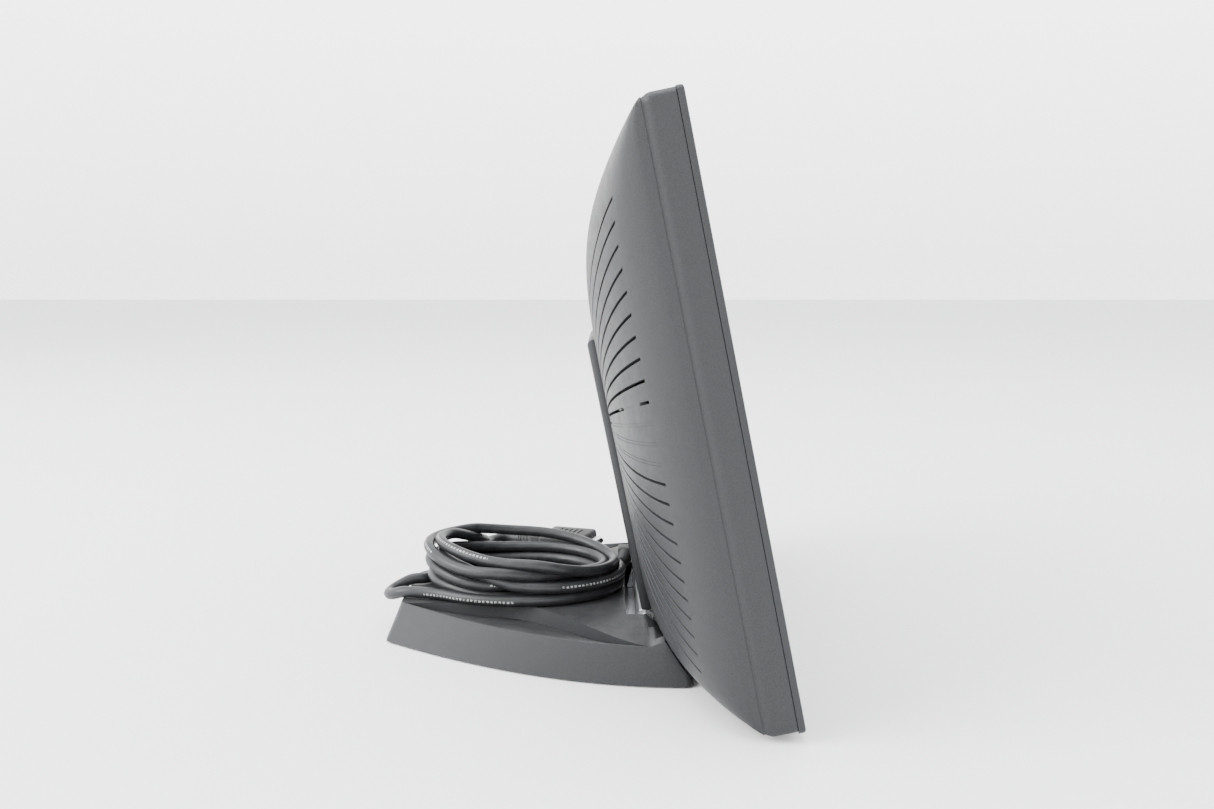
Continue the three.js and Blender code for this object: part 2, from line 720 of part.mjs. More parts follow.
function drilledLayer(inset, frontInset, z0, thickness) {
  const outline = baseOutline(0, inset, frontInset);
  const sheet = ringSolid([ringAt(outline, z0), ringAt(outline, z0 + thickness)]);
  return cut(sheet, baseScrews.map(([x, y]) => rod(1.5 + holePlay, [x, y, z0 - 1], thickness + 2, AXIS_Z, 10)));
}

const baseScrewShape = [
  [0, 0],
  [3.2, 0],
  [3.2, 0.8],
  [1.5, 0.8],
  [1.5, 8.6],
  [0, 8.6],
];

function hingeBracket(side) {
  const inner = armWidth / 2 + clearance + washerThickness + clearance;
  const x = [inner, inner + hingeSheet].map((value) => side * value).sort((a, b) => a - b);
  const flangeX = [inner, inner + 3.4 * hingeSheet].map((value) => side * value).sort((a, b) => a - b);
  const foot = plateZ + plateThickness + clearance;
  const reach = shaftRadius + 3.4;
  const outline = new THREE.Shape();
  outline.moveTo(hingeY - reach - 2, foot);
  outline.lineTo(hingeY + reach + 2, foot);
  outline.lineTo(hingeY + reach, hingeZ);
  outline.absarc(hingeY, hingeZ, reach, 0, Math.PI);
  outline.closePath();
  const flange = box(...flangeX, hingeY - reach - 2, hingeY + reach + 2, foot, foot + hingeSheet * 0.6);
  const bore = rod(shaftRadius + clearance, [x[0] - 1, hingeY, hingeZ], hingeSheet + 2, AXIS_X, 20);
  return section(outline, ...x).add(flange).subtract(bore);
}

function ringPart(inner, outer, [x, y, z], length, segments) {
  const bore = rod(inner, [x - 1, y, z], length + 2, AXIS_X, 20);
  return rod(outer, [x, y, z], length, AXIS_X, segments).subtract(bore);
}

add(stand, "base_cover", baseCover(), casing);
add(stand, "base_weight_plate", drilledLayer(coverWall + 6, 12, plateZ, plateThickness), steel);
add(stand, "bottom_cover", drilledLayer(coverWall + 2.2, 6, bottomZ, bottomThickness), darkCasing);
const feet = [
  [-90, 62],
  [90, 62],
  [-37, 204],
  [37, 204],
];
feet.forEach(([x, y], index) => {
  add(stand, `rubber_foot_${index + 1}`, rod(footRadius, [x, y, 0], footHeight, AXIS_Z, 20), rubber);
});
baseScrews.forEach(([x, y], index) => {
  const screw = lathe(baseScrewShape, [x, y, bottomZ - clearance - 0.8], AXIS_Z, 14);
  add(stand, `base_screw_${index + 1}`, screw, zinc);
});

const washerStart = armWidth / 2 + clearance;
const nutStart = washerStart + washerThickness + clearance + hingeSheet + clearance;
const shaftHalf = nutStart + nutThickness;
const shaft = rod(shaftRadius, [-shaftHalf, hingeY, hingeZ], 2 * shaftHalf, AXIS_X, 24);
add(stand, "hinge_shaft", shaft, zinc);
for (const [name, side] of sides) {
  const washerX = side > 0 ? washerStart : -washerStart - washerThickness;
  const nutX = side > 0 ? nutStart : -nutStart - nutThickness;
  const bore = shaftRadius + clearance;
  add(stand, `hinge_bracket_${name}`, hingeBracket(side), steel);
  add(stand, `hinge_washer_${name}`, ringPart(bore, 6, [washerX, hingeY, hingeZ], washerThickness, 20), zinc);
  add(stand, `hinge_nut_${name}`, ringPart(bore, nutRadius, [nutX, hingeY, hingeZ], nutThickness, 6), zinc);
}

// ---- Cable: from a gland on the base into a coil, round a stray loop, and out to its plug ----
const cable = new THREE.Group();
const coilFoot = baseHeight + clearance;

const glandX = 68;
const glandY = 79;
const glandHalf = 4.4;
const glandZ = coilFoot + glandHalf;
const glandLength = 12;

const cordGland = () =>
  box(glandX - glandLength, glandX, glandY - glandHalf, glandY + glandHalf, coilFoot, coilFoot + 2 * glandHalf);

function coilRing() {
  const points = [
    [coilInner, cableRadius],
    [coilInner + cableRadius, 0],
    [coilOuter - cableRadius, 0],
    [coilOuter, cableRadius],
    [coilOuter, coilHeight - coilBevel],
    [coilOuter - coilBevel, coilHeight],
    [coilInner + coilBevel, coilHeight],
    [coilInner, coilHeight - coilBevel],
    [coilInner, cableRadius],
  ];
  const ring = lathe(points, [0, 0, 0], AXIS_Z, 32);
  return ring.scale([coilSquash, 1, 1]).translate([coilCentre.x, coilCentre.y, coilFoot]);
}

// A point beside the coil, at an angle seen from above and a distance out from its surface.
function besideCoil(degrees, out, z) {
  const angle = THREE.MathUtils.degToRad(degrees);
  const across = coilOuter * coilSquash + out;
  const along = coilOuter + out;
  return [coilCentre.x + across * Math.cos(angle), coilCentre.y + along * Math.sin(angle), z];
}

// The plug lies flat beside the coil; its own frame has +Y towards the cable.
const plugFrame = new THREE.Group();
plugFrame.position.set(coilCentre.x + plugReach, coilCentre.y - plugBehind, coilFoot + plugThickness / 2);
plugFrame.rotation.z = plugAngle;

function plugHood() {
  const half = plugThickness / 2;
  const halfWidth = plugWidth / 2;
  const end = plugLength / 2;
  const body = box(-halfWidth, halfWidth, -end, end - shoulderLength, -half, half);
  const shoulder = box(
    shoulderInset - halfWidth, halfWidth - shoulderInset, end - shoulderLength - 0.2, end, 2 - half, half - 2,
  );
  const boot = rod(cableRadius + bootWall, [0, end - 0.2, 0], bootLength, AXIS_Y, 16);
  const tunnels = [-1, 1].map((side) =>
    rod(screwTunnel, [(side * plugScrewSpacing) / 2, -end - 1, 0], plugLength, AXIS_Y, 16),
  );
  return cut(join([body, shoulder, boot]), tunnels);
}

function plugShell() {
  const front = -plugLength / 2 - clearance;
  const insideWidth = shellHalfWidth - shellSheet;
  const insideHeight = shellHalfHeight - shellSheet;
  const shell = box(-shellHalfWidth, shellHalfWidth, front - shellReach, front, -shellHalfHeight, shellHalfHeight);
  return shell.subtract(
    box(-insideWidth, insideWidth, front - shellReach - 1, front - 1, -insideHeight, insideHeight),
  );
}

function thumbscrew(side) {
  const points = [
    [0, -screwReach],
    [jackScrewRadius, -screwReach],
    [jackScrewRadius, thumbStart],
    [thumbRadius, thumbStart],
    [thumbRadius, plugLength - screwReach],
    [0, plugLength - screwReach],
  ];
  return lathe(points, [(side * plugScrewSpacing) / 2, -plugLength / 2, 0], AXIS_Y, 14);
}

const bootEnd = new THREE.Vector3(0, plugLength / 2 + bootLength + clearance, 0)
  .applyAxisAngle(AXIS_Z, plugAngle)
  .add(plugFrame.position);
const lying = coilFoot + cableRadius + 0.2; // height of a stretch that lies on the base
const leadRoute = [
  [glandX - glandLength - clearance, glandY, glandZ],
  [50, 79.2, lying + 0.5],
  [43, 80.8, lying],
  [36, 83, lying],
];
const loopRoute = [
  besideCoil(118, 3 * clearance, lying),
  [-26.5, 203, lying],
  [-27.4, 209, lying - 0.4],
  [-23.6, 217.2, lying - 0.9],
  [-14, 221.4, lying - 1.1],
  [-4.4, 217.2, lying - 0.9],
  [-0.8, 209, lying - 0.4],
  besideCoil(90, 3 * clearance, lying),
];
const tailRoute = [
  bootEnd.toArray(),
  [88.5, 158.5, bootEnd.z - 0.1],
  [83, 167.5, bootEnd.z - 0.4],
  [74, 174.5, lying + 3.5],
  [62, 181, lying + 4.2],
  [50, 186, lying + 5.7],
  besideCoil(40, 3 * clearance, lying + 7.7),
];

add(cable, "cord_gland", cordGland(), rubber);
add(cable, "cord_lead", tube(leadRoute, 8), jacket);
add(cable, "cord_coil", coilRing(), jacket);
add(cable, "cord_loop", tube(loopRoute, 12), jacket);
add(cable, "cord_tail", tube(tailRoute, 10), jacket);
add(plugFrame, "video_plug", plugHood(), rubber);
add(plugFrame, "plug_shell", plugShell(), zinc);
sides.forEach(([name, side]) => add(plugFrame, `thumbscrew_${name}`, thumbscrew(side), darkCasing));
cable.add(plugFrame);

// ---- Assembly: the origin is under the middle of the monitor, on the table ----
const monitor = new THREE.Group();
monitor.add(head, stand);
monitor.updateMatrixWorld(true);
const bounds = new THREE.Box3().setFromObject(monitor, true);
const group = new THREE.Group();
group.add(monitor, cable);
group.position.set(-(bounds.min.x + bounds.max.x) / 2, -(bounds.min.y + bounds.max.y) / 2, -bounds.min.z);

export default group;
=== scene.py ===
"""A 15-inch desktop flat-panel monitor on a low tilting stand, with its video cable coiled on the base.

Run as a script inside Blender 4.5. It is laid out as an add-on: settings, one operator for each piece or
group of pieces, and a panel that lists them. Everything is in metres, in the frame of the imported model.
"""

import json
import math

import bmesh
import bpy
import numpy as np
from mathutils import Matrix, Vector


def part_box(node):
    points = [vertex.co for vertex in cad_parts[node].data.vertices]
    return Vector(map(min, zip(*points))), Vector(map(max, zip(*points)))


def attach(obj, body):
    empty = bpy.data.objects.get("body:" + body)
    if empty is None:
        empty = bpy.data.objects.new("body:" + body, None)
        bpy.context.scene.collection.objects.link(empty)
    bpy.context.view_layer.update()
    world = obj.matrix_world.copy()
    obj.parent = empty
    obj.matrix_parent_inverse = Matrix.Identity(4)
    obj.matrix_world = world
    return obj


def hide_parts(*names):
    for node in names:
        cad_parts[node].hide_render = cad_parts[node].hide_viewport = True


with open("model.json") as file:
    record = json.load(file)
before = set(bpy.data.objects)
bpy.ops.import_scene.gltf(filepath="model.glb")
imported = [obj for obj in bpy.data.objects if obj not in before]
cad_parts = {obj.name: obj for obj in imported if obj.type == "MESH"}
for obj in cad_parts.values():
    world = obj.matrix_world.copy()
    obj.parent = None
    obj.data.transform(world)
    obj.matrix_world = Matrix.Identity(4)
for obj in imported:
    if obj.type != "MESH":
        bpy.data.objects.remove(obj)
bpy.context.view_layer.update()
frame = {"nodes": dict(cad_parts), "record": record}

bl_info = {
    "name": "Desktop Monitor",
    "version": (1, 0, 0),
    "blender": (4, 5, 0),
    "location": "View3D > Sidebar > Monitor",
    "description": "Builds a flat-panel monitor with a domed, slotted back round a packed frame",
    "category": "Object",
}

MM = 0.001

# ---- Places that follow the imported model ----
BEZEL_LOW, BEZEL_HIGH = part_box("front_bezel")
BASE_LOW, BASE_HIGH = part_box("base_cover")
COIL_LOW, COIL_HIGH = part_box("cord_coil")
GLAND_LOW, GLAND_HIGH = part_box("cord_gland")
HEAD_LEAN = math.radians(11.5)
HEAD_FOOT = Vector((0, BEZEL_LOW.y, 0.005))
HEAD = Matrix.Translation(HEAD_FOOT) @ Matrix.Rotation(-HEAD_LEAN, 4, "X")


# ---- Settings ----
def length(label, about, default, **more):
    return bpy.props.FloatProperty(
        name=label, description=about, default=default, unit="LENGTH", precision=4, **more
    )


def colour(label, about, default):
    return bpy.props.FloatVectorProperty(
        name=label, description=about, default=default, size=3, subtype="COLOR", min=0, max=1
    )


class HeadSettings(bpy.types.PropertyGroup):
    width: length("Width", "Width of the head", BEZEL_HIGH.x - BEZEL_LOW.x)
    height: length("Height", "Height of the head along its own face", 0.293)
    corner: length("Corner", "Corner radius of the head", 0.0035)
    bezel_depth: length("Bezel depth", "Thickness of the front bezel", 0.0034)
    wall: length("Wall", "Thickness of the rear cover", 0.0024)
    seam: length("Seam", "Depth of the joint line behind the bezel", 0.0037)
    crease: length("Crease", "Depth at which the domed back starts", 0.0194)
    dome: length("Dome", "Depth of the domed back at its fullest", 0.0626)
    crown: length("Crown", "Height at which the dome is fullest", 0.124)
    window_width: length("Window width", "Width of the screen opening", 0.306)
    window_height: length("Window height", "Height of the screen opening", 0.230)
    window_bottom: length("Window bottom", "Height of the opening's lower edge", 0.037)
    casing: colour("Casing", "Colour of the moulded casing", (0.0162, 0.0168, 0.0181))


class VentSettings(bpy.types.PropertyGroup):
    count: bpy.props.IntProperty(name="Slots", description="Slots on each side", default=24, min=4)
    width: length("Width", "Width of a slot", 0.0014)
    outer: length("Outer end", "Distance of the outer ends from the middle", 0.1602)
    inner: length("Inner end", "Distance of the inner ends from the middle", 0.061)
    top: length("Top", "Height of the highest slot's outer end", 0.255)
    bottom: length("Bottom", "Height of the lowest slot's outer end", 0.029)
    level: length("Level", "Height at which a slot runs level", 0.135)
    fan: length("Fan", "Height over which the slope of the slots grows by one", 0.165)
    steepest: bpy.props.FloatProperty(name="Steepest", description="Largest slope", default=0.56)
    lip: length("Lip", "Size of the bevel round a slot", 0.00022)


class BaseSettings(bpy.types.PropertyGroup):
    height: length("Height", "Height of the base's flat top", BASE_HIGH.z)
    front_half: length("Front half-width", "Half the width at the front", BASE_HIGH.x)
    rear_half: length("Rear half-width", "Half the width at the back", 0.040)
    wall: length("Wall", "Thickness of the base's shell", 0.0024)
    scoop: length("Scoop", "Depth of the hollow on each side", 0.009)
    lip: length("Lip", "Rise of the front corners beside the head", 0.003)
    plateau_half: length("Plateau", "Half the width of the top's narrow end", 0.034)


class CableSettings(bpy.types.PropertyGroup):
    diameter: length("Diameter", "Diameter of the cable", 0.0066)
    whole: length("Length", "Length of the cable from its gland to its plug", 2.0)
    turns: bpy.props.IntProperty(name="Turns", description="Whole turns in the coil", default=6, min=2)
    jacket: colour("Jacket", "Colour of the cable's jacket", (0.0150, 0.0155, 0.0168))


class StageSettings(bpy.types.PropertyGroup):
    floor: colour("Floor", "Colour of the floor", (0.86, 0.86, 0.855))
    lens: bpy.props.FloatProperty(
        name="Lens", description="Focal length of the camera", default=32.17, unit="CAMERA"
    )
    sky: bpy.props.FloatProperty(name="Sky", description="Strength of the surrounding light", default=4.7)


# ---- Modelling helpers ----
def deselect():
    if bpy.context.object is not None and bpy.context.object.mode != "OBJECT":
        bpy.ops.object.mode_set(mode="OBJECT")
    bpy.ops.object.select_all(action="DESELECT")


def choose(obj):
    deselect()
    obj.hide_set(False)
    obj.select_set(True)
    bpy.context.view_layer.objects.active = obj


def settle(obj, place=None):
    """Moves a piece's place into its mesh, so that its object stands at the origin."""
    choose(obj)
    if place is not None:
        obj.matrix_world = place @ obj.matrix_world
    bpy.ops.object.transform_apply(location=True, rotation=True, scale=True)
    return obj


def block(name, low, high):
    """A box between two corners."""
    deselect()
    centre = [(a + b) / 2 for a, b in zip(low, high)]
    size = [b - a for a, b in zip(low, high)]
    bpy.ops.mesh.primitive_cube_add(size=1, location=centre, scale=size)
    obj = bpy.context.object
    obj.name = name
    return settle(obj)


def rod(name, radius, start, end, sides=32):
    """A cylinder between two points."""
    deselect()
    start, end = Vector(start), Vector(end)
    turn = (end - start).to_track_quat("Z", "Y").to_euler()
    bpy.ops.mesh.primitive_cylinder_add(
        vertices=sides,
        radius=radius,
        depth=(end - start).length,
        location=(start + end) / 2,
        rotation=turn,
    )
    obj = bpy.context.object
    obj.name = name
    return settle(obj)


def turned(name, profile, place, steps=32):
    """A closed shape spun round Z from a profile of (radius, height), then put in its place."""
    deselect()
    mesh = bpy.data.meshes.new(name)
    mesh.from_pydata(
        [(radius, 0, height) for radius, height in profile],
        [(i, i + 1) for i in range(len(profile) - 1)],
        [],
    )
    obj = bpy.data.objects.new(name, mesh)
    bpy.context.collection.objects.link(obj)
    choose(obj)
    bpy.ops.object.mode_set(mode="EDIT")
    bpy.ops.mesh.select_all(action="SELECT")
    bpy.ops.mesh.spin(steps=steps, angle=math.tau, center=(0, 0, 0), axis=(0, 0, 1))
    bpy.ops.mesh.select_all(action="SELECT")
    bpy.ops.mesh.remove_doubles(threshold=1e-6)
    bpy.ops.mesh.normals_make_consistent(inside=False)
    bpy.ops.object.mode_set(mode="OBJECT")
    return settle(obj, place)


def bevel(obj, wanted, width, segments=3, profile=0.5):
    """Bevels the edges whose two ends pass a test."""
    choose(obj)
    bpy.ops.object.mode_set(mode="EDIT")
    bpy.ops.mesh.select_mode(type="EDGE")
    bpy.ops.mesh.select_all(action="DESELECT")
    mesh = bmesh.from_edit_mesh(obj.data)
    for edge in mesh.edges:
        if wanted(*(vert.co for vert in edge.verts)):
            edge.select_set(True)
    bmesh.update_edit_mesh(obj.data)
    bpy.ops.mesh.bevel(offset=width, segments=segments, profile=profile, affect="EDGES")
    bpy.ops.mesh.select_mode(type="VERT")
    bpy.ops.object.mode_set(mode="OBJECT")
    return obj


def combine(obj, others, operation="DIFFERENCE"):
    """Cuts other shapes out of a piece, or adds them to it, and removes them."""
    choose(obj)
    for other in others:
        step = obj.modifiers.new("combine", "BOOLEAN")
        step.operation = operation
        step.solver = "MANIFOLD"
        step.object = other
        bpy.ops.object.modifier_apply(modifier=step.name)
        bpy.data.objects.remove(other)
    return obj


def soften(obj, width, segments=2, angle=30):
    """Rounds every edge sharper than an angle."""
    choose(obj)
    step = obj.modifiers.new("soften", "BEVEL")
    step.width = width
    step.segments = segments
    step.limit_method = "ANGLE"
    step.angle_limit = math.radians(angle)
    step.harden_normals = False
    bpy.ops.object.modifier_apply(modifier=step.name)
    return obj


def joined(name, parts):
    """One object of several separate shells."""
    deselect()
    for part in parts:
        part.select_set(True)
    bpy.context.view_layer.objects.active = parts[0]
    bpy.ops.object.join()
    obj = bpy.context.object
    obj.name = name
    return obj


def object_from(name, mesh):
    """The object of a mesh built face by face, with its faces turned outwards."""
    bmesh.ops.recalc_face_normals(mesh, faces=mesh.faces)
    data = bpy.data.meshes.new(name)
    mesh.to_mesh(data)
    mesh.free()
    obj = bpy.data.objects.new(name, data)
    bpy.context.collection.objects.link(obj)
    return obj


def skinned(name, rings):
    """A closed skin over rings that have equal numbers of points, with a face across each end."""
    mesh = bmesh.new()
    rows = [[mesh.verts.new(point) for point in ring] for ring in rings]
    count = len(rows[0])
    for here, there in zip(rows, rows[1:]):
        for i in range(count):
            j = (i + 1) % count
            mesh.faces.new((here[i], here[j], there[j], there[i]))
    mesh.faces.new(list(reversed(rows[0])))
    mesh.faces.new(rows[-1])
    bmesh.ops.remove_doubles(mesh, verts=mesh.verts, dist=1e-7)
    return object_from(name, mesh)


def done(obj, name, body, look, instead_of=(), smooth=30):
    """Names a finished piece, gives it its finish and shading, and fixes it to its body."""
    choose(obj)
    obj.name = name
    obj.data.name = name
    obj.data.materials.clear()
    obj.data.materials.append(look)
    bpy.ops.object.shade_smooth_by_angle(angle=math.radians(smooth))
    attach(obj, body)
    if instead_of:
        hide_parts(*instead_of)
    return obj


# ---- Finishes ----
class Finish:
    """A node material under construction, with a principled shader."""

    def __init__(self, name, **values):
        self.material = bpy.data.materials.new(name)
        self.material.use_nodes = True
        self.nodes = self.material.node_tree.nodes
        self.links = self.material.node_tree.links
        self.shader = self.nodes["Principled BSDF"]
        for socket, value in values.items():
            self.shader.inputs[socket.replace("_", " ")].default_value = value
        self.place = self.add("ShaderNodeTexCoord").outputs["Object"]

    def add(self, kind, **settings):
        node = self.nodes.new(kind)
        for key, value in settings.items():
            setattr(node, key, value)
        return node

    def link(self, source, node, socket):
        self.links.new(source, node.inputs[socket])
        return node

    def noise(self, scale, detail=3.0, roughness=0.5, distortion=0.0, place=None):
        node = self.add("ShaderNodeTexNoise")
        node.inputs["Scale"].default_value = scale
        node.inputs["Detail"].default_value = detail
        node.inputs["Roughness"].default_value = roughness
        node.inputs["Distortion"].default_value = distortion
        return self.link(place or self.place, node, "Vector").outputs["Fac"]

    def cells(self, scale, feature="F1"):
        node = self.add("ShaderNodeTexVoronoi", feature=feature)
        node.inputs["Scale"].default_value = scale
        return self.link(self.place, node, "Vector").outputs["Distance"]

    def stretched(self, scale):
        node = self.add("ShaderNodeMapping")
        node.inputs["Scale"].default_value = scale
        return self.link(self.place, node, "Vector").outputs["Vector"]

    def spread(self, value, low, high, out_low=0.0, out_high=1.0):
        node = self.add("ShaderNodeMapRange")
        for socket, number in zip(
            ("From Min", "From Max", "To Min", "To Max"), (low, high, out_low, out_high)
        ):
            node.inputs[socket].default_value = number
        return self.link(value, node, "Value").outputs["Result"]

    def sum(self, first, second, operation="ADD"):
        node = self.add("ShaderNodeMath", operation=operation)
        for index, value in enumerate((first, second)):
            if isinstance(value, (int, float)):
                node.inputs[index].default_value = value
            else:
                self.links.new(value, node.inputs[index])
        return node.outputs[0]

    def times(self, first, second):
        return self.sum(first, second, "MULTIPLY")

    def mix(self, factor, first, second):
        node = self.add("ShaderNodeMix", data_type="RGBA")
        self.links.new(factor, node.inputs["Factor"])
        for socket, value in ((6, first), (7, second)):
            if isinstance(value, (tuple, list)):
                node.inputs[socket].default_value = (*value[:3], 1.0)
            else:
                self.links.new(value, node.inputs[socket])
        return node.outputs[2]

    def paint(self, output):
        self.links.new(output, self.shader.inputs["Base Color"])

    def shine(self, output):
        self.links.new(output, self.shader.inputs["Roughness"])

    def raise_by(self, height, distance, strength=1.0):
        node = self.add("ShaderNodeBump")
        node.inputs["Strength"].default_value = strength
        node.inputs["Distance"].default_value = distance
        before = self.shader.inputs["Normal"]
        if before.is_linked:
            self.links.new(before.links[0].from_socket, node.inputs["Normal"])
        self.link(height, node, "Height")
        self.links.new(node.outputs["Normal"], before)


def shade(tone, factor):
    return tuple(min(1.0, channel * factor) for channel in tone)


def moulded_plastic(name, tone, roughness=0.46, grain=1500.0, relief=0.00004, dust=0.35):
    """Spark-textured moulded plastic: a fine pebbled grain, flow clouding and settled dust."""
    finish = Finish(name, IOR=1.49, Specular_IOR_Level=0.26)
    clouds = finish.noise(9, 5, 0.6, 0.4)
    pebbles = finish.cells(grain)
    fine = finish.noise(grain * 1.7, 2, 0.6)
    rubs = finish.noise(60, 6, 0.7)
    base = finish.mix(finish.spread(clouds, 0.35, 0.65), shade(tone, 0.9), shade(tone, 1.1))
    speck = finish.mix(finish.spread(pebbles, 0.15, 0.6), base, shade(tone, 1.28))
    facing = finish.add("ShaderNodeTexCoord").outputs["Normal"]
    split = finish.add("ShaderNodeSeparateXYZ")
    finish.link(facing, split, "Vector")
    upward = finish.spread(split.outputs["Z"], 0.45, 1.0)
    settled = finish.times(upward, finish.spread(rubs, 0.42, 0.72, 0.15, 1.0))
    settled = finish.times(settled, dust * 0.18)
    finish.paint(finish.mix(settled, speck, (0.30, 0.295, 0.28)))
    gloss = finish.spread(finish.noise(130, 4, 0.65), 0.3, 0.7, roughness - 0.05, roughness + 0.06)
    finish.shine(finish.sum(gloss, finish.times(settled, 0.8)))
    finish.raise_by(finish.sum(pebbles, finish.times(fine, 0.6)), relief, 0.5)
    return finish.material


def rolled_steel(name, tone, direction=(4, 600, 600), roughness=0.34):
    """Sheet steel with fine rolling lines, and cloudy patches where it has been handled."""
    finish = Finish(name, Metallic=1.0)
    lines = finish.noise(3, 3, 0.6, place=finish.stretched(direction))
    patches = finish.noise(24, 5, 0.6, 0.6)
    dull = finish.mix(finish.spread(patches, 0.35, 0.7), shade(tone, 1.06), shade(tone, 0.78))
    finish.paint(finish.mix(finish.spread(lines, 0.3, 0.7, 0, 0.5), dull, shade(tone, 0.7)))
    gloss = finish.spread(lines, 0.2, 0.8, roughness - 0.08, roughness + 0.12)
    finish.shine(finish.sum(gloss, finish.spread(patches, 0.3, 0.8, 0.0, 0.12)))
    finish.raise_by(lines, 0.00002, 0.4)
    return finish.material


def zinc_plate(name, tone):
    """Bright zinc plating with a faint crystalline mottling."""
    finish = Finish(name, Metallic=1.0)
    grains = finish.cells(420)
    haze = finish.noise(90, 4, 0.6)
    finish.paint(finish.mix(finish.spread(grains, 0.1, 0.7), shade(tone, 1.05), shade(tone, 0.82)))
    finish.shine(finish.spread(haze, 0.3, 0.7, 0.24, 0.42))
    finish.raise_by(grains, 0.00002, 0.3)
    return finish.material


def circuit_laminate(name):
    """Green solder mask over copper tracks, with a fine glass weave."""
    finish = Finish(name, Roughness=0.32, IOR=1.5)
    tracks = finish.add("ShaderNodeTexBrick", offset=0.35, squash=0.7)
    finish.link(finish.place, tracks, "Vector")
    tracks.inputs["Scale"].default_value = 160
    tracks.inputs["Mortar Size"].default_value = 0.06
    weave = finish.cells(900, "F2")
    ground = finish.mix(finish.spread(weave, 0.3, 1.0), (0.010, 0.060, 0.026), (0.016, 0.085, 0.038))
    finish.paint(finish.mix(tracks.outputs["Fac"], ground, (0.05, 0.20, 0.09)))
    finish.raise_by(tracks.outputs["Fac"], 0.00003, 0.5)
    return finish.material


def soft_rubber(name, tone, roughness=0.62, grain=900.0):
    """Matt rubber with a slightly uneven skin and pale dust in it."""
    finish = Finish(name, IOR=1.47)
    skin = finish.noise(grain, 3, 0.6)
    scuffs = finish.noise(70, 6, 0.7, 0.8)
    finish.paint(finish.mix(finish.spread(scuffs, 0.45, 0.8, 0, 0.5), tone, shade(tone, 2.6)))
    finish.shine(finish.spread(scuffs, 0.3, 0.8, roughness - 0.08, roughness + 0.16))
    finish.raise_by(skin, 0.00004, 0.5)
    return finish.material


def cable_jacket(name, tone):
    """Extruded jacket: satin skin, faint drawing lines, twist showing through, pale ink ticks."""
    finish = Finish(name, IOR=1.5, Specular_IOR_Level=0.36)
    along = finish.add("ShaderNodeUVMap", uv_map="along")
    split = finish.add("ShaderNodeSeparateXYZ")
    finish.link(along.outputs["UV"], split, "Vector")
    run, around = split.outputs["X"], split.outputs["Y"]
    lanes = finish.add("ShaderNodeMapping")
    lanes.inputs["Scale"].default_value = (8, 70, 1)
    finish.link(along.outputs["UV"], lanes, "Vector")
    drawn = finish.noise(1.0, 3, 0.6, place=lanes.outputs["Vector"])
    mottle = finish.noise(160, 5, 0.6)
    base = finish.mix(finish.spread(mottle, 0.3, 0.75), shade(tone, 0.85), shade(tone, 1.35))
    scuffed = finish.mix(finish.spread(finish.noise(420, 3, 0.7), 0.58, 0.8, 0, 0.35), base, shade(tone, 3.4))
    band = finish.times(finish.spread(around, 0.465, 0.475), finish.spread(around, 0.535, 0.525))
    ticks = finish.sum(finish.times(run, 430.0), 1.0, "FLOORED_MODULO")
    tick = finish.times(finish.spread(ticks, 0.22, 0.26), finish.spread(ticks, 0.82, 0.78))
    group = finish.sum(finish.times(run, 7.3), 1.0, "FLOORED_MODULO")
    printed = finish.spread(group, 0.42, 0.415)
    worn = finish.spread(finish.noise(1300, 2, 0.7), 0.4, 0.52)
    ink = finish.times(finish.times(band, tick), finish.times(printed, worn))
    finish.paint(finish.mix(finish.times(ink, 0.55), scuffed, (0.62, 0.63, 0.62)))
    finish.shine(finish.spread(mottle, 0.3, 0.7, 0.36, 0.5))
    twist = finish.sum(finish.times(run, 90.0), finish.times(around, 2.0))
    wave = finish.sum(finish.times(twist, math.tau), 0.0, "SINE")
    finish.raise_by(wave, 0.00007, 0.4)
    finish.raise_by(drawn, 0.00004, 0.4)
    return finish.material


def screen_glass(name, tone, roughness):
    """Dark glass with finger haze."""
    finish = Finish(name, IOR=1.52)
    haze = finish.noise(26, 6, 0.65, 1.2)
    finish.paint(finish.mix(finish.spread(haze, 0.4, 0.8), tone, shade(tone, 1.5)))
    finish.shine(finish.spread(haze, 0.45, 0.75, roughness, roughness + 0.16))
    finish.raise_by(finish.noise(700, 2, 0.5), 0.000008, 0.3)
    return finish.material


def open_foam(name):
    finish = Finish(name, Roughness=0.95)
    pores = finish.cells(1400)
    finish.paint(finish.mix(finish.spread(pores, 0.05, 0.5), (0.006, 0.006, 0.006), (0.03, 0.03, 0.03)))
    finish.raise_by(pores, 0.0002, 0.8)
    return finish.material


def milky_plastic(name, tone, roughness=0.5):
    finish = Finish(name, IOR=1.49)
    clouds = finish.noise(40, 4, 0.5)
    finish.paint(finish.mix(finish.spread(clouds, 0.3, 0.7), shade(tone, 0.93), shade(tone, 1.05)))
    finish.shine(finish.spread(clouds, 0.3, 0.7, roughness - 0.05, roughness + 0.05))
    finish.raise_by(finish.noise(1200, 2, 0.5), 0.00001, 0.3)
    return finish.material


LOOKS = {}


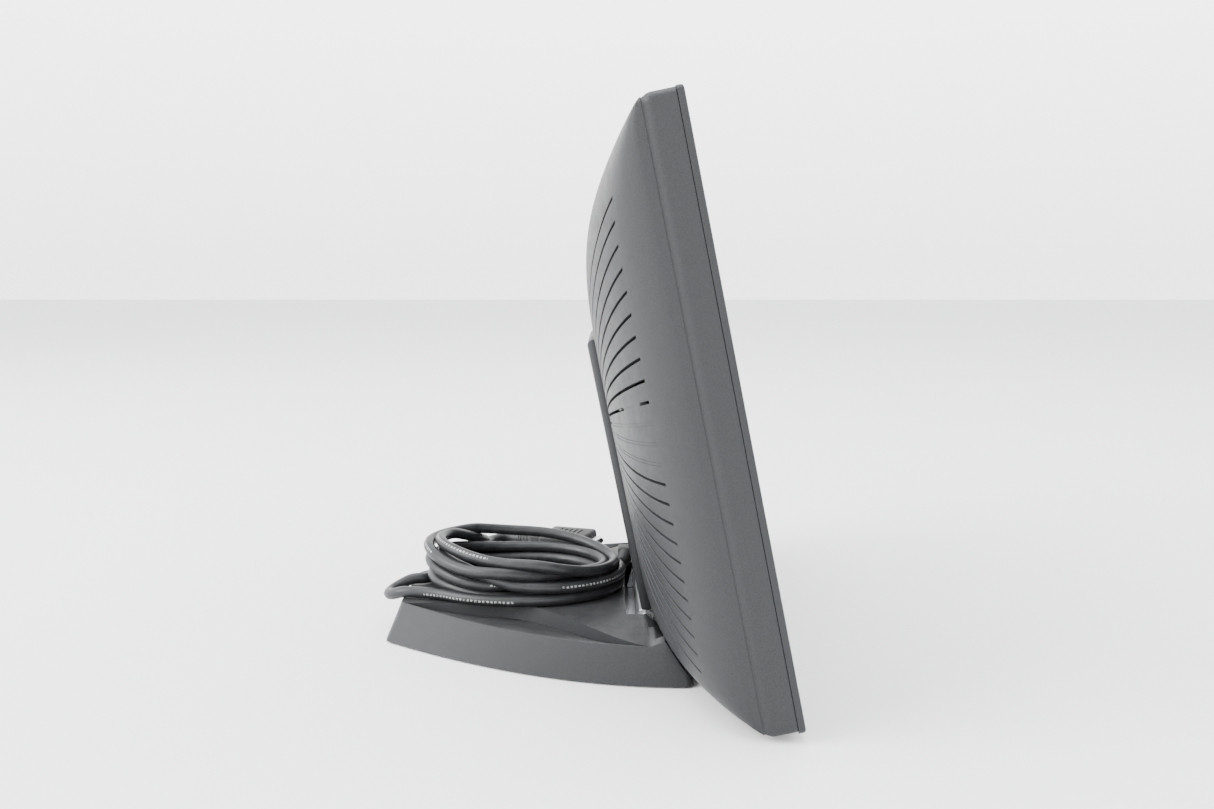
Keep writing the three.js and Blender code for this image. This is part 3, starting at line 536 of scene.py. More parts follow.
def look(kind):
    """The finish of one material slot, made the first time it is asked for."""
    if kind not in LOOKS:
        head = bpy.context.scene.monitor_head
        cable = bpy.context.scene.monitor_cable
        tone = tuple(head.casing)
        makers = {
            "casing": (moulded_plastic, "Casing plastic", tone),
            "dark_casing": (moulded_plastic, "Dark plastic", shade(tone, 0.62), 0.4, 1900.0),
            "screen_glass": (screen_glass, "Screen glass", (0.0045, 0.005, 0.006), 0.07),
            "panel": (screen_glass, "Panel film", (0.006, 0.0065, 0.008), 0.3),
            "foam": (open_foam, "Gasket foam"),
            "diffuser": (milky_plastic, "Diffuser", (0.72, 0.73, 0.72)),
            "led": (milky_plastic, "Lamp lens", (0.10, 0.26, 0.13), 0.22),
            "board": (circuit_laminate, "Board laminate"),
            "zinc": (zinc_plate, "Zinc plate", (0.66, 0.67, 0.69)),
            "steel": (rolled_steel, "Rolled steel", (0.56, 0.57, 0.59)),
            "rubber": (soft_rubber, "Rubber", (0.014, 0.014, 0.0145)),
            "cable_jacket": (cable_jacket, "Cable jacket", tuple(cable.jacket)),
        }
        maker, *values = makers[kind]
        LOOKS[kind] = maker(*values)
    return LOOKS[kind]


# ---- Stage ----
class MONITOR_OT_stage(bpy.types.Operator):
    """Camera, floor and soft studio light"""

    bl_idname = "monitor.stage"
    bl_label = "Stage"

    def execute(self, context):
        stage = context.scene.monitor_stage
        deselect()
        bpy.ops.object.camera_add(location=(-0.6456, -0.0188, 0.2142))
        camera = context.object
        camera.name = "Side camera"
        camera.rotation_euler = (math.radians(90 - 7.12), 0, math.radians(-90))
        camera.data.lens = stage.lens
        camera.data.clip_start = 0.01
        camera.data.clip_end = 40
        context.scene.camera = camera
        bpy.ops.mesh.primitive_plane_add(size=14, location=(0, 0, 0))
        floor = context.object
        floor.name = "Floor"
        paper = Finish("Pale floor", Roughness=0.7)
        tone = tuple(stage.floor)
        clouds = paper.noise(2.2, 5, 0.6)
        paper.paint(paper.mix(paper.spread(clouds, 0.3, 0.7), shade(tone, 0.985), shade(tone, 1.01)))
        floor.data.materials.append(paper.material)
        world = bpy.data.worlds.new("Soft surround")
        world.use_nodes = True
        sky = world.node_tree.nodes["Background"]
        links = world.node_tree.links
        where = world.node_tree.nodes.new("ShaderNodeTexCoord")
        split = world.node_tree.nodes.new("ShaderNodeSeparateXYZ")
        fade = world.node_tree.nodes.new("ShaderNodeValToRGB")
        fade.color_ramp.elements[0].color = (0.72, 0.72, 0.725, 1)
        fade.color_ramp.elements.new(0.22).color = (1.0, 1.0, 1.0, 1)
        fade.color_ramp.elements[2].color = (0.42, 0.43, 0.45, 1)
        fade.color_ramp.elements[2].position = 0.75
        links.new(where.outputs["Generated"], split.inputs["Vector"])
        links.new(split.outputs["Z"], fade.inputs["Fac"])
        links.new(fade.outputs["Color"], sky.inputs["Color"])
        sky.inputs["Strength"].default_value = stage.sky
        context.scene.world = world
        for name, place, aim, size, power in (
            ("Back panel", (-0.75, 1.9, 1.45), (0, 0, 0.12), 1.5, 104),
            ("Top panel", (0.2, 0.5, 2.4), (0, 0, 0), 2.0, 62),
            ("Front panel", (0.4, -1.9, 1.3), (0, 0, 0.15), 1.2, 11),
        ):
            bpy.ops.object.light_add(type="AREA", location=place)
            lamp = context.object
            lamp.name = name
            lamp.data.size = size
            lamp.data.energy = power
            toward = Vector(aim) - Vector(place)
            lamp.rotation_euler = toward.to_track_quat("-Z", "Y").to_euler()
        return {"FINISHED"}


# ---- Cable ----
COIL_MIDDLE = Vector(((COIL_LOW.x + COIL_HIGH.x) / 2, (COIL_LOW.y + COIL_HIGH.y) / 2))
COIL_SLIMMER = (COIL_HIGH.y - COIL_LOW.y - COIL_HIGH.x + COIL_LOW.x) / 2 * 1000
PLUG_TURN = math.radians(-18)
PLUG_LENGTH = 0.042
PLUG_MIDDLE = Vector((0.0777, 0.01255, 0.0293))
PLUG = Matrix.Translation(PLUG_MIDDLE) @ Matrix.Rotation(PLUG_TURN, 4, "Z")
BOOT_END = PLUG @ Vector((0, PLUG_LENGTH / 2 + 0.0093, 0))
GLAND_EXIT = Vector(
    (GLAND_LOW.x - 0.0003, (GLAND_LOW.y + GLAND_HIGH.y) / 2, (GLAND_LOW.z + GLAND_HIGH.z) / 2)
)

# Stretches of the cable that lie free, from the gland inwards, round the stray loop and out to the plug.
LEAD_ROUTE = [GLAND_EXIT * 1000, (50, -30.3, 25.8), (43, -28.9, 25.2), (34, -26.2, 25.1), (22, -24.2, 25.1)]
LOOP_ROUTE = [
    (-27.6, 74.0, 25.1),
    (-25.0, 82.5, 25.1),
    (-23.6, 92.0, 25.1),
    (-22.4, 101.0, 24.8),
    (-17.5, 109.0, 21.9),
    (-9.6, 112.2, 20.6),
    (-1.6, 108.6, 22.0),
    (3.0, 100.8, 24.8),
    (4.8, 93.8, 25.1),
    (9.2, 88.8, 25.1),
]
TAIL_ROUTE = [(32, 66.5, 48.5), (44, 61.5, 43.0), (56, 61.0, 37.0), (68, 62.5, 32.2), (78, 62.0, 30.0)]
TAIL_ROUTE += [(86, 57.0, 29.4), (89.6, 49.5, 29.3), BOOT_END * 1000]

# How far round the coil, in degrees, the stray loop leaves and returns and the cable's last turn ends.
LOOP_LEAVES, LOOP_RETURNS, COIL_ENDS = 225, 282, 306
LOOP_ROOM, END_ROOM = 8, 6
ROUTE_STEP, CORD_STEP = 4.0, 0.0022
SETTLE_ROUNDS = 260
RELIEF_STEPS = 48

# Each turn's radius along Y, its height at the left, near, right and far sides of the coil, and how far it
# is drawn in on the near side, in millimetres.
TURNS = [
    (57.0, 25.1, 25.1, 25.1, 25.1, 3.0),
    (50.2, 25.4, 25.2, 25.1, 25.1, 1.0),
    (54.5, 32.0, 31.0, 30.8, 31.0, 1.0),
    (47.0, 38.0, 36.5, 31.5, 33.0, 2.0),
    (56.5, 44.0, 33.0, 34.0, 37.0, -2.0),
    (49.0, 47.0, 43.0, 38.0, 40.0, 1.0),
    (56.0, 51.5, 38.0, 39.5, 48.0, -1.0),
    (50.0, 55.0, 48.5, 45.0, 50.5, 2.0),
]


def turn_values(progress):
    """Values of the coil a number of turns along it; each turn crosses over on the near side."""
    last = len(TURNS) - 1
    at = min(max(progress, 0.0), last)
    low = int(min(math.floor(at), last - 1))
    share = min(max((at - low - (0.5 if low == 0 else 0.08)) / 0.4, 0.0), 1.0)
    share = share * share * (3 - 2 * share)
    return [a + (b - a) * share for a, b in zip(TURNS[low], TURNS[low + 1])]


def coil_arc(start, end, step=12.0):
    """Route points round the coil, clockwise from the right, between two amounts of turning in degrees."""
    count = max(2, round((end - start) / step))
    points = []
    for index in range(count + 1):
        turned_by = start + (end - start) * index / count
        radius, left, near_side, right, far_side, drawn_in = turn_values((turned_by - 80) / 360)
        angle = -math.radians(turned_by)
        near = max(0.0, -math.cos(angle))
        height = (left if math.sin(angle) > 0 else right) * math.sin(angle) ** 2
        height += (near_side if near > 0 else far_side) * math.cos(angle) ** 2
        wobble = 0.9 * math.sin(math.radians(turned_by * 0.73 + 40))
        across = radius - COIL_SLIMMER - drawn_in * near**2 + wobble
        points.append(
            (
                COIL_MIDDLE.x * 1000 + across * math.cos(angle),
                COIL_MIDDLE.y * 1000 + (radius + 0.4 * wobble) * math.sin(angle),
                height,
            )
        )
    return points


def smooth_path(points, step):
    """Points a step apart on a smooth curve through the given ones."""
    given = np.array([tuple(point) for point in points], float)
    padded = np.vstack([2 * given[0] - given[1], given, 2 * given[-1] - given[-2]])
    fine = []
    for i in range(1, len(padded) - 2):
        a, b, c, d = padded[i - 1 : i + 3]
        for share in np.linspace(0, 1, 16, endpoint=False):
            fine.append(
                0.5
                * (
                    2 * b
                    + (c - a) * share
                    + (2 * a - 5 * b + 4 * c - d) * share**2
                    + (3 * b - a - 3 * c + d) * share**3
                )
            )
    fine = np.array([*fine, given[-1]])
    along = np.concatenate([[0], np.cumsum(np.linalg.norm(np.diff(fine, axis=0), axis=1))])
    at = np.linspace(0, along[-1], max(2, round(along[-1] / step) + 1))
    return np.stack([np.interp(at, along, fine[:, k]) for k in range(3)], axis=1)


def lay_down(path, diameter, floor, rounds):
    """Lets a cable settle: turns push each other apart and sink until something carries them."""
    rest, now = path.copy(), path.copy()
    count = len(now)
    index = np.arange(count)
    apart = np.abs(index[:, None] - index[None, :]) > 4
    held = np.ones((count, 1))
    held[:7] = 0
    held[-7:] = 0
    for turn in range(rounds):
        late = turn / rounds
        now[:, 2:] -= 0.00005 * held * (1 - late)
        now += (rest - now) * (0.01 * (1 - late)) * held
        for _ in range(2):
            gap = now[:, None, :] - now[None, :, :]
            far = np.linalg.norm(gap, axis=2) + 1e-12
            push = np.where(apart & (far < diameter), (diameter - far) / far * 0.5, 0.0)
            moved = (gap * push[:, :, None]).sum(1)
            crowd = np.maximum((push > 0).sum(1), 1)[:, None]
            now += moved / np.sqrt(crowd) * held
        shift = now - rest
        shift[1:-1] += ((shift[:-2] + shift[2:]) / 2 - shift[1:-1]) * 0.5
        now = rest + shift * held
        now[:, 2] = np.where(held[:, 0] > 0, np.maximum(now[:, 2], floor), now[:, 2])
    return now


def tube(name, path, radius, sides=14):
    """A round tube along a path, with a UV map that runs along it in metres and once round it."""
    along = np.concatenate([[0], np.cumsum(np.linalg.norm(np.diff(path, axis=0), axis=1))])
    tangents = np.gradient(path, axis=0)
    tangents /= np.linalg.norm(tangents, axis=1)[:, None]
    mesh = bmesh.new()
    uv = mesh.loops.layers.uv.new("along")
    side = Vector(tangents[0]).cross(Vector((0, 0, 1))).normalized()
    rings = []
    for point, tangent in zip(path, tangents):
        tangent = Vector(tangent)
        side = (side - tangent * side.dot(tangent)).normalized()
        up = tangent.cross(side)
        ring = []
        for k in range(sides):
            angle = math.tau * k / sides
            spoke = side * math.cos(angle) + up * math.sin(angle)
            ring.append(mesh.verts.new(Vector(point) + radius * spoke))
        rings.append(ring)
    for i in range(len(rings) - 1):
        for k in range(sides):
            j = (k + 1) % sides
            face = mesh.faces.new((rings[i][k], rings[i][j], rings[i + 1][j], rings[i + 1][k]))
            corners = ((i, k), (i, k + 1), (i + 1, k + 1), (i + 1, k))
            for loop, (ring, step) in zip(face.loops, corners):
                loop[uv].uv = (along[ring], step / sides)
    mesh.faces.new(list(reversed(rings[0])))
    mesh.faces.new(rings[-1])
    return object_from(name, mesh)


def sleeve(name, path, radii, bore, sides=24):
    """A hollow sleeve along a path, with its own outer radius at each point."""
    tangents = np.gradient(path, axis=0)
    outside, inside = [], []
    for point, tangent, radius in zip(path, tangents, radii):
        tangent = Vector(tangent).normalized()
        side = tangent.cross(Vector((0, 0, 1))).normalized()
        up = side.cross(tangent)
        angles = [math.tau * k / sides for k in range(sides)]
        spokes = [side * math.cos(angle) + up * math.sin(angle) for angle in angles]
        outside.append([Vector(point) + spoke * radius for spoke in spokes])
        inside.append([Vector(point) + spoke * bore for spoke in spokes])
    mesh = bmesh.new()
    rows = [[mesh.verts.new(point) for point in ring] for ring in [*outside, *reversed(inside)]]
    for here, there in zip(rows, [*rows[1:], rows[0]]):
        for k in range(sides):
            j = (k + 1) % sides
            mesh.faces.new((here[k], here[j], there[j], there[k]))
    return object_from(name, mesh)


def ribbed(start, end, ribs, steps=6):
    """Radii of a tapered relief with ribs standing out of it, as (share along, radius) in metres."""
    count = ribs * steps
    values = []
    for index in range(count + 1):
        share = index / count
        rib = 0.5 - 0.5 * math.cos(math.tau * share * ribs)
        values.append((share, start + (end - start) * share + 0.0005 * rib * (share < 0.97)))
    return values


class MONITOR_OT_cable(bpy.types.Operator):
    """The video cable, from its gland through the coil and the stray loop to its plug"""

    bl_idname = "monitor.cable"
    bl_label = "Cable"

    def execute(self, context):
        cable = context.scene.monitor_cable
        ends = COIL_ENDS + 360 * cable.turns
        route = [*LEAD_ROUTE, *coil_arc(88, LOOP_LEAVES - LOOP_ROOM), *LOOP_ROUTE]
        route += [*coil_arc(LOOP_RETURNS + LOOP_ROOM, ends - END_ROOM), *TAIL_ROUTE]
        path = smooth_path(route, ROUTE_STEP) * MM
        past_edge = np.maximum(path[:, 1] - (BASE_HIGH.y - REAR_DRAFT * MM), 0)
        floor = BASE_HIGH.z + cable.diameter / 2 + 0.0002 - past_edge**2 / cable.diameter
        path = lay_down(path, cable.diameter * 1.01, floor, SETTLE_ROUNDS)
        path = smooth_path(path, CORD_STEP)
        cord = tube("video_cable", path, cable.diameter / 2)
        done(cord, "video_cable", "stand", look("cable_jacket"), smooth=60)
        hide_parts("cord_lead", "cord_coil", "cord_loop", "cord_tail")
        relief = path[:9]
        radii = np.interp(np.linspace(0, 1, RELIEF_STEPS + 1), *zip(*ribbed(0.0043, 0.0036, 7)))
        relief_length = np.linalg.norm(np.diff(relief, axis=0), axis=1).sum()
        sleeved = smooth_path(relief, relief_length / RELIEF_STEPS)[: RELIEF_STEPS + 1]
        boot = sleeve("gland_boot", sleeved, radii[: len(sleeved)], cable.diameter / 2 + 0.00005)
        done(boot, "gland_boot", "stand", look("rubber"), smooth=40)
        gland = soften(block("gland_block", GLAND_LOW, GLAND_HIGH), 0.0014, 3)
        done(gland, "gland_block", "stand", look("rubber"), ["cord_gland"])
        return {"FINISHED"}


SCREW_OFFSET = 0.0125
KNURLS = 48
PIN_ROW, PIN_PITCH = 0.00198, 0.00229


def narrow_foot(obj):
    """Draws the lower side of a block in, for the plug's D shape."""
    for vert in obj.data.vertices:
        if vert.co.z < 0:
            vert.co.x *= 0.9


class MONITOR_OT_plug(bpy.types.Operator):
    """The video plug: hood with grips and a ribbed boot, shell with its pins, and two thumbscrews"""

    bl_idname = "monitor.plug"
    bl_label = "Plug"

    def execute(self, context):
        hood = block("hood", (-0.0155, -0.021, -0.0075), (0.0155, 0.011, 0.0075))
        soften(hood, 0.0026, 4)
        shoulder = soften(block("shoulder", (-0.0085, 0.009, -0.0055), (0.0085, 0.021, 0.0055)), 0.002, 3)
        combine(hood, [shoulder], "UNION")
        for x in (-SCREW_OFFSET, SCREW_OFFSET):
            combine(hood, [rod("tunnel", 0.0028, (x, -0.022, 0), (x, 0.02, 0))])
        grips = []
        for step in range(5):
            y = -0.0135 + 0.0036 * step
            for up in (-1, 1):
                z = up * 0.0078
                grips.append(block("grip", (-0.0085, y, z - 0.0008), (0.0085, y + 0.0014, z + 0.0008)))
        combine(hood, grips)
        settle(hood, PLUG)
        done(hood, "plug_hood", "stand", look("rubber"), ["video_plug"])
        profile = ribbed(0.0049, 0.0039, 4)
        line = np.array([tuple(PLUG @ Vector((0, 0.0205 + 0.0093 * share, 0))) for share, _ in profile])
        boot = sleeve("plug_boot", line, [radius for _, radius in profile], 0.0018)
        done(boot, "plug_boot", "stand", look("rubber"), smooth=40)
        shell = block("shell", (-0.0084, -0.0273, -0.0041), (0.0084, -0.0213, 0.0041))
        narrow_foot(shell)
        soften(shell, 0.0016, 4, 60)
        inner = block("inner", (-0.0077, -0.0290, -0.0034), (0.0077, -0.0223, 0.0034))
        narrow_foot(inner)
        combine(shell, [inner])
        pins = []
        for row in (PIN_ROW, 0.0, -PIN_ROW):
            for step in range(5):
                x = (step - 2) * PIN_PITCH + (0.0011 if row == 0 else 0)
                pins.append(rod("pin", 0.0005, (x, -0.0266, row), (x, -0.0222, row), 10))
        shell = joined("plug_sleeve", [shell, *pins])
        settle(shell, PLUG)
        done(shell, "plug_sleeve", "stand", look("zinc"), ["plug_shell"])
        for name, side in (("left", -1), ("right", 1)):
            profile = [(0, -0.026), (0.0011, -0.026), (0.0014, -0.0255), (0.0014, 0.005), (0.0024, 0.0053)]
            profile += [(0.0024, 0.0157), (0.0021, 0.016), (0, 0.016)]
            screw = turned("screw", profile, Matrix.Identity(4), KNURLS)
            for vert in screw.data.vertices:
                if 0.00525 < vert.co.z < 0.0158 and math.hypot(vert.co.x, vert.co.y) > 0.002:
                    if round(math.atan2(vert.co.y, vert.co.x) / math.tau * KNURLS) % 2:
                        vert.co.x *= 0.93
                        vert.co.y *= 0.93
            upright = Matrix.Rotation(math.radians(-90), 4, "X")
            settle(screw, PLUG @ (Matrix.Translation((side * SCREW_OFFSET, 0, 0)) @ upright))
            done(screw, f"thumbscrew_{name}_knurled", f"thumbscrew_{name}_turn", look("dark_casing"),
                 [f"thumbscrew_{name}"], smooth=25)
        return {"FINISHED"}


# ---- Head ----
CROWDING = 1.4  # how far the grid's lines crowd towards the head's edges
DOME_MARGIN, FORM_MARGIN = 1.4, 1.6  # the dome's rim and the form's outline inside the head's, in millimetres
BLIND_SLOTS = range(9, 13)
HALF_CUT, HALF_SCRIBED = 9, 10  # slots that are only partly open
SLOT_DEPTH = 9.0
GROOVE = (0.28, 0.25, 0.02)  # width, depth and lip of a scribed line, in millimetres


def dome_depth(x, z):
    """Depth of the domed back at a point of it, in millimetres from the head's front face."""
    head = bpy.context.scene.monitor_head
    half = head.width / 2 / MM - DOME_MARGIN
    top, crown = head.height / MM - DOME_MARGIN, head.crown / MM
    crease, full = head.crease / MM, head.dome / MM
    across = np.sqrt(np.maximum(1 - np.abs(x / half) ** 3, 0))
    above = np.maximum((z - crown) / (top - crown), 0)
    below = np.maximum((crown - z) / (crown - DOME_MARGIN), 0)
    upright = np.maximum(1 - above**4.8, 0) * np.maximum(1 - below**12, 0) ** 2
    across, upright = np.maximum(across, 1e-4), np.maximum(upright, 1e-4)
    blend = (across**-1.3 + upright**-1.3 - 1) ** (-1 / 1.3)
    return crease + (full - crease) * blend


def rounded(x, z, half_x, half_z, radius):
    """Draws the points of a rectangle into one with rounded corners."""
    centre_x = np.clip(x, radius - half_x, half_x - radius)
    centre_z = np.clip(z, radius - half_z, half_z - radius)
    a, b = (x - centre_x) / radius, (z - centre_z) / radius
    return centre_x + radius * a * np.sqrt(1 - b * b / 2), centre_z + radius * b * np.sqrt(1 - a * a / 2)


# The side wall behind the domed back, as (half the width, depth) in millimetres, from the dome forwards.
SIDE_WALL = [(175.15, 18.9), (175.3, 18.2), (175.75, 17.3), (176.3, 16.3), (176.6, 15.2), (176.7, 14.0)]


def domed_form(name, cells_x, cells_z, inset, wall, front):
    """A closed form with the domed back, a stepped side wall and a flat front, in the head's own frame."""
    head = bpy.context.scene.monitor_head
    middle = head.height / 2 / MM
    half_x, half_z = head.width / 2 / MM - FORM_MARGIN - inset, middle - FORM_MARGIN - inset
    radius = head.corner / MM - inset
    deselect()
    bpy.ops.mesh.primitive_grid_add(x_subdivisions=cells_x, y_subdivisions=cells_z, size=2)
    obj = bpy.context.object
    obj.name = name
    mesh = obj.data
    flat = np.empty(len(mesh.vertices) * 3)
    mesh.vertices.foreach_get("co", flat)
    flat = flat.reshape(-1, 3)
    u = np.sin(flat[:, 0] * CROWDING) / math.sin(CROWDING)
    w = np.sin(flat[:, 1] * CROWDING) / math.sin(CROWDING)
    depth = dome_depth(u * (head.width / 2 / MM - DOME_MARGIN), middle + w * (middle - DOME_MARGIN)) - inset
    x, z = rounded(u * half_x, w * half_z, half_x, half_z, radius)
    placed = np.stack([x, depth, z + middle], axis=1) * MM
    mesh.vertices.foreach_set("co", placed.ravel())
    mesh.update()
    choose(obj)
    bpy.ops.object.mode_set(mode="EDIT")
    bpy.ops.mesh.select_mode(type="EDGE")
    bpy.ops.mesh.select_all(action="DESELECT")
    bpy.ops.mesh.select_non_manifold()
    for wide, deep in [*wall, (wall[-1][0], front)]:
        bpy.ops.mesh.extrude_edges_move()
        edit = bmesh.from_edit_mesh(mesh)
        for vert in edit.verts:
            if vert.select:
                px, pz = vert.co.x / MM, vert.co.z / MM - middle
                cx = min(max(px, radius - half_x), half_x - radius)
                cz = min(max(pz, radius - half_z), half_z - radius)
                far = math.hypot(px - cx, pz - cz)
                reach = radius + wide - half_x
                vert.co.x = (cx + (px - cx) / far * reach) * MM
                vert.co.z = (cz + (pz - cz) / far * reach + middle) * MM
                vert.co.y = deep * MM
        bmesh.update_edit_mesh(mesh)
    bpy.ops.mesh.edge_face_add()
    bpy.ops.mesh.select_mode(type="VERT")
    bpy.ops.mesh.select_all(action="SELECT")
    bpy.ops.mesh.normals_make_consistent(inside=False)
    bpy.ops.object.mode_set(mode="OBJECT")
    return obj


def slot_height(index, vents):
    """Height of a slot's outer end, counted from the top; the spacing widens upwards."""
    share = (vents.count - 1 - index) / (vents.count - 1)
    return (vents.bottom + (vents.top - vents.bottom) * (share + 0.07 * share**3) / 1.07) / MM


def slot_cutter(side, index, reach, width, depth, lip, shift=0.0):
    """A cutter that follows the dome's surface along one slot, flared at the surface."""
    vents = bpy.context.scene.monitor_vents
    outer_z = slot_height(index, vents)
    drawn_in = 2.6 * abs(2 * index / (vents.count - 1) - 1) ** 3
    slope = (outer_z - vents.level / MM) / (vents.fan / MM)
    slope = min(max(slope, -vents.steepest), vents.steepest)
    rings = []
    for x in np.linspace(reach[0] - drawn_in, reach[1], 24):
        z = outer_z - slope * (vents.outer / MM - x) + shift
        surface = float(dome_depth(np.array(x), np.array(z)))
        rows = ((-width / 2, -depth), (width / 2, -depth), (width / 2, -lip), (width / 2 + lip + 0.8, 0.8))
        rows += ((-width / 2 - lip - 0.8, 0.8), (-width / 2, -lip))
        rings.append([Vector((side * x, surface + deep, z + high)) * MM for high, deep in rows])
    return skinned("slot", rings)


class MONITOR_OT_rear_cover(bpy.types.Operator):
    """The head's domed rear cover, with its two fans of slots and the recess for the neck"""

    bl_idname = "monitor.rear_cover"
    bl_label = "Rear cover"

    def execute(self, context):
        head, vents = context.scene.monitor_head, context.scene.monitor_vents
        seam = head.seam / MM
        shell = domed_form("shell", 180, 150, 0.0, SIDE_WALL, seam)
        inner_wall = [(wide - 2.4, deep - 2.4) for wide, deep in SIDE_WALL[::5]]
        hollow = domed_form("hollow", 60, 50, head.wall / MM, inner_wall, 2.0)
        room = block("room", (-0.0559, 0.0572, -0.01), (0.0559, 0.08, 0.191))
        combine(hollow, [room])
        recess = block("recess", (-0.0535, 0.0596, -0.01), (0.0535, 0.08, 0.1885))
        bevel(recess, lambda a, b: a.z > 0.18 and b.z > 0.18 and abs(a.x - b.x) < 1e-6, 0.004, 4)
        holes = []
        for height in BUTTON_HEIGHTS.values():
            low, high = (0.165, 0.007, height - 0.0045), (0.179, 0.012, height + 0.0045)
            holes.append(soften(block("button hole", low, high), 0.0006, 2))
        holes.append(block("jack hole", (0.0865, 0.0214, -0.005), (0.0975, 0.0424, 0.0205)))
        for x in (-0.0375, 0.0375):
            for z in (0.0925, 0.1675):
                holes.append(rod("post hole", 0.0024, (x, 0.05, z), (x, 0.066, z)))
        for z in (0.115, 0.145):
            holes.append(rod("screw hole", 0.0019, (0, 0.05, z), (0, 0.066, z)))
        combine(shell, [hollow, recess, *holes])
        width, lip = vents.width / MM, vents.lip / MM
        outer, inner = vents.outer / MM, vents.inner / MM
        cutters = []
        through = (width, SLOT_DEPTH, lip)
        for side in (-1, 1):
            for index in range(vents.count):
                if index not in BLIND_SLOTS:
                    cutters.append(slot_cutter(side, index, (outer, inner), *through))
                elif index == HALF_CUT:
                    cutters.append(slot_cutter(side, index, (outer, outer - 8), *through))
                    cutters.append(slot_cutter(side, index, (outer - 30, inner), *through))
                    cutters.append(slot_cutter(side, index, (outer - 8.4, outer - 29.6), 0.25, 0.25, 0.02))
                else:
                    stop = inner if index != HALF_SCRIBED else inner + 14.5
                    for shift in (-0.75, 0.75):
                        cutters.append(slot_cutter(side, index, (outer, stop), *GROOVE, shift))
                    if index == HALF_SCRIBED:
                        cutters.append(slot_cutter(side, index, (inner + 14, inner), *through))
        combine(shell, [joined("slots", cutters)])
        settle(shell, HEAD)
        done(shell, "domed_rear_cover", "head", look("casing"), ["rear_cover"], smooth=32)
        return {"FINISHED"}


class MONITOR_OT_bezel(bpy.types.Operator):
    """The front bezel round the screen"""

    bl_idname = "monitor.bezel"
    bl_label = "Bezel"

    def execute(self, context):
        head = context.scene.monitor_head
        half, top, deep = head.width / 2, head.height, head.bezel_depth
        frame_ring = block("ring", (-half, 0, 0), (half, deep, top))
        bevel(frame_ring, lambda a, b: abs(a.y - b.y) > 0.001, head.corner, 10)
        bevel(frame_ring, lambda a, b: max(a.y, b.y) < 1e-6, 0.0013, 5)
        wide, low = head.window_width / 2, head.window_bottom
        window = block("window", (-wide, -0.01, low), (wide, 0.01, low + head.window_height))
        bevel(window, lambda a, b: abs(a.y - b.y) > 0.001, 0.002, 4)
        combine(frame_ring, [window])
        lamp_low = (half - 0.0295, -0.01, low / 2 - 0.0012)
        lamp = block("lamp", lamp_low, (half - 0.0245, 0.01, low / 2 + 0.0012))
        combine(frame_ring, [lamp])
        settle(frame_ring, HEAD)
        done(frame_ring, "screen_bezel", "head", look("casing"), ["front_bezel"], smooth=40)
        return {"FINISHED"}


BUTTON_HEIGHTS = {
    "menu_button": 0.060,
    "down_button": 0.077,
    "up_button": 0.094,
    "select_button": 0.111,
    "power_button": 0.128,
}


class MONITOR_OT_buttons(bpy.types.Operator):
    """The five buttons on the head's right edge"""

    bl_idname = "monitor.buttons"
    bl_label = "Buttons"

    def execute(self, context):
        cap = block("cap", (0.1714, 0.0073, -0.0042), (0.1769, 0.0117, 0.0042))
        bevel(cap, lambda a, b: min(a.x, b.x) > 0.176 or abs(a.x - b.x) > 0.001, 0.0008, 3)
        flange = block("flange", (0.1714, 0.0063, -0.0057), (0.1726, 0.0127, 0.0057))
        combine(cap, [soften(flange, 0.0003, 2)], "UNION")
        for name, height in BUTTON_HEIGHTS.items():
            button = bpy.data.objects.new(name, cap.data.copy())
            context.collection.objects.link(button)
            settle(button, HEAD @ Matrix.Translation((0, 0, height)))
            done(button, f"{name}_cap", f"{name}_key", look("dark_casing"), [name], smooth=40)
        bpy.data.objects.remove(cap)
        return {"FINISHED"}


class MONITOR_OT_neck(bpy.types.Operator):
    """The thin cover over the neck's steel arm"""

    bl_idname = "monitor.neck"
    bl_label = "Neck cover"

    def execute(self, context):
        cover = block("cover", (-0.052, 0.0599, 0.0315), (0.052, 0.0662, 0.187))
        bevel(cover, lambda a, b: min(a.y, b.y) > 0.066 and max(a.z, b.z) > 0.18, 0.0034, 6)
        pocket = block("pocket", (-0.0504, 0.055, 0.02), (0.0504, 0.0646, 0.1838))
        combine(cover, [pocket])
        soften(cover, 0.00025, 2, 50)
        settle(cover, HEAD)
        done(cover, "neck_shell", "head", look("casing"), ["neck_cover"], smooth=40)
        return {"FINISHED"}


# ---- Base ----
BASE_FRONT, BASE_REAR = 46.0, 219.0
REAR_DRAFT = 8
NOSE_FOOT = 3.5
NOSE_END = 69.0
NOSE_REACH = 8.5
SCOOP_START = 62.0
FRONT_ROUND, REAR_ROUND = 4.0, 3.5
SCOOP_PARTS = (0, 0.02, 0.045, 0.07, 0.14, 0.24, 0.36, 0.48, 0.6, 0.72, 0.84, 0.93, 1.0)


def flank(y, draft, inset):
    """Half the base's width at a distance from its front, in millimetres."""
    base = bpy.context.scene.monitor_base
    front = base.front_half / MM - draft - inset
    rear = base.rear_half / MM - REAR_DRAFT * draft - inset * 0.7
    start, end = BASE_FRONT + inset, BASE_REAR - REAR_DRAFT * draft - inset
    length = end - start
    t = np.linspace(0, 1, 200)
    bow_x = (front, front, rear + (front - rear) * 0.6, rear)
    bow_y = (start + 4, start + length * 0.36, start + length * 0.68, end)
    weights = ((1 - t) ** 3, 3 * t * (1 - t) ** 2, 3 * t * t * (1 - t), t**3)
    curve_x = sum(weight * value for weight, value in zip(weights, bow_x))
    curve_y = sum(weight * value for weight, value in zip(weights, bow_y))
    half = float(np.interp(y, curve_y, curve_x))
    for corner, radius in ((start, FRONT_ROUND), (end, REAR_ROUND)):
        over = radius - abs(y - corner)
        if over > 0:
            half -= radius - math.sqrt(max(radius * radius - over * over, 0.0))
    return half


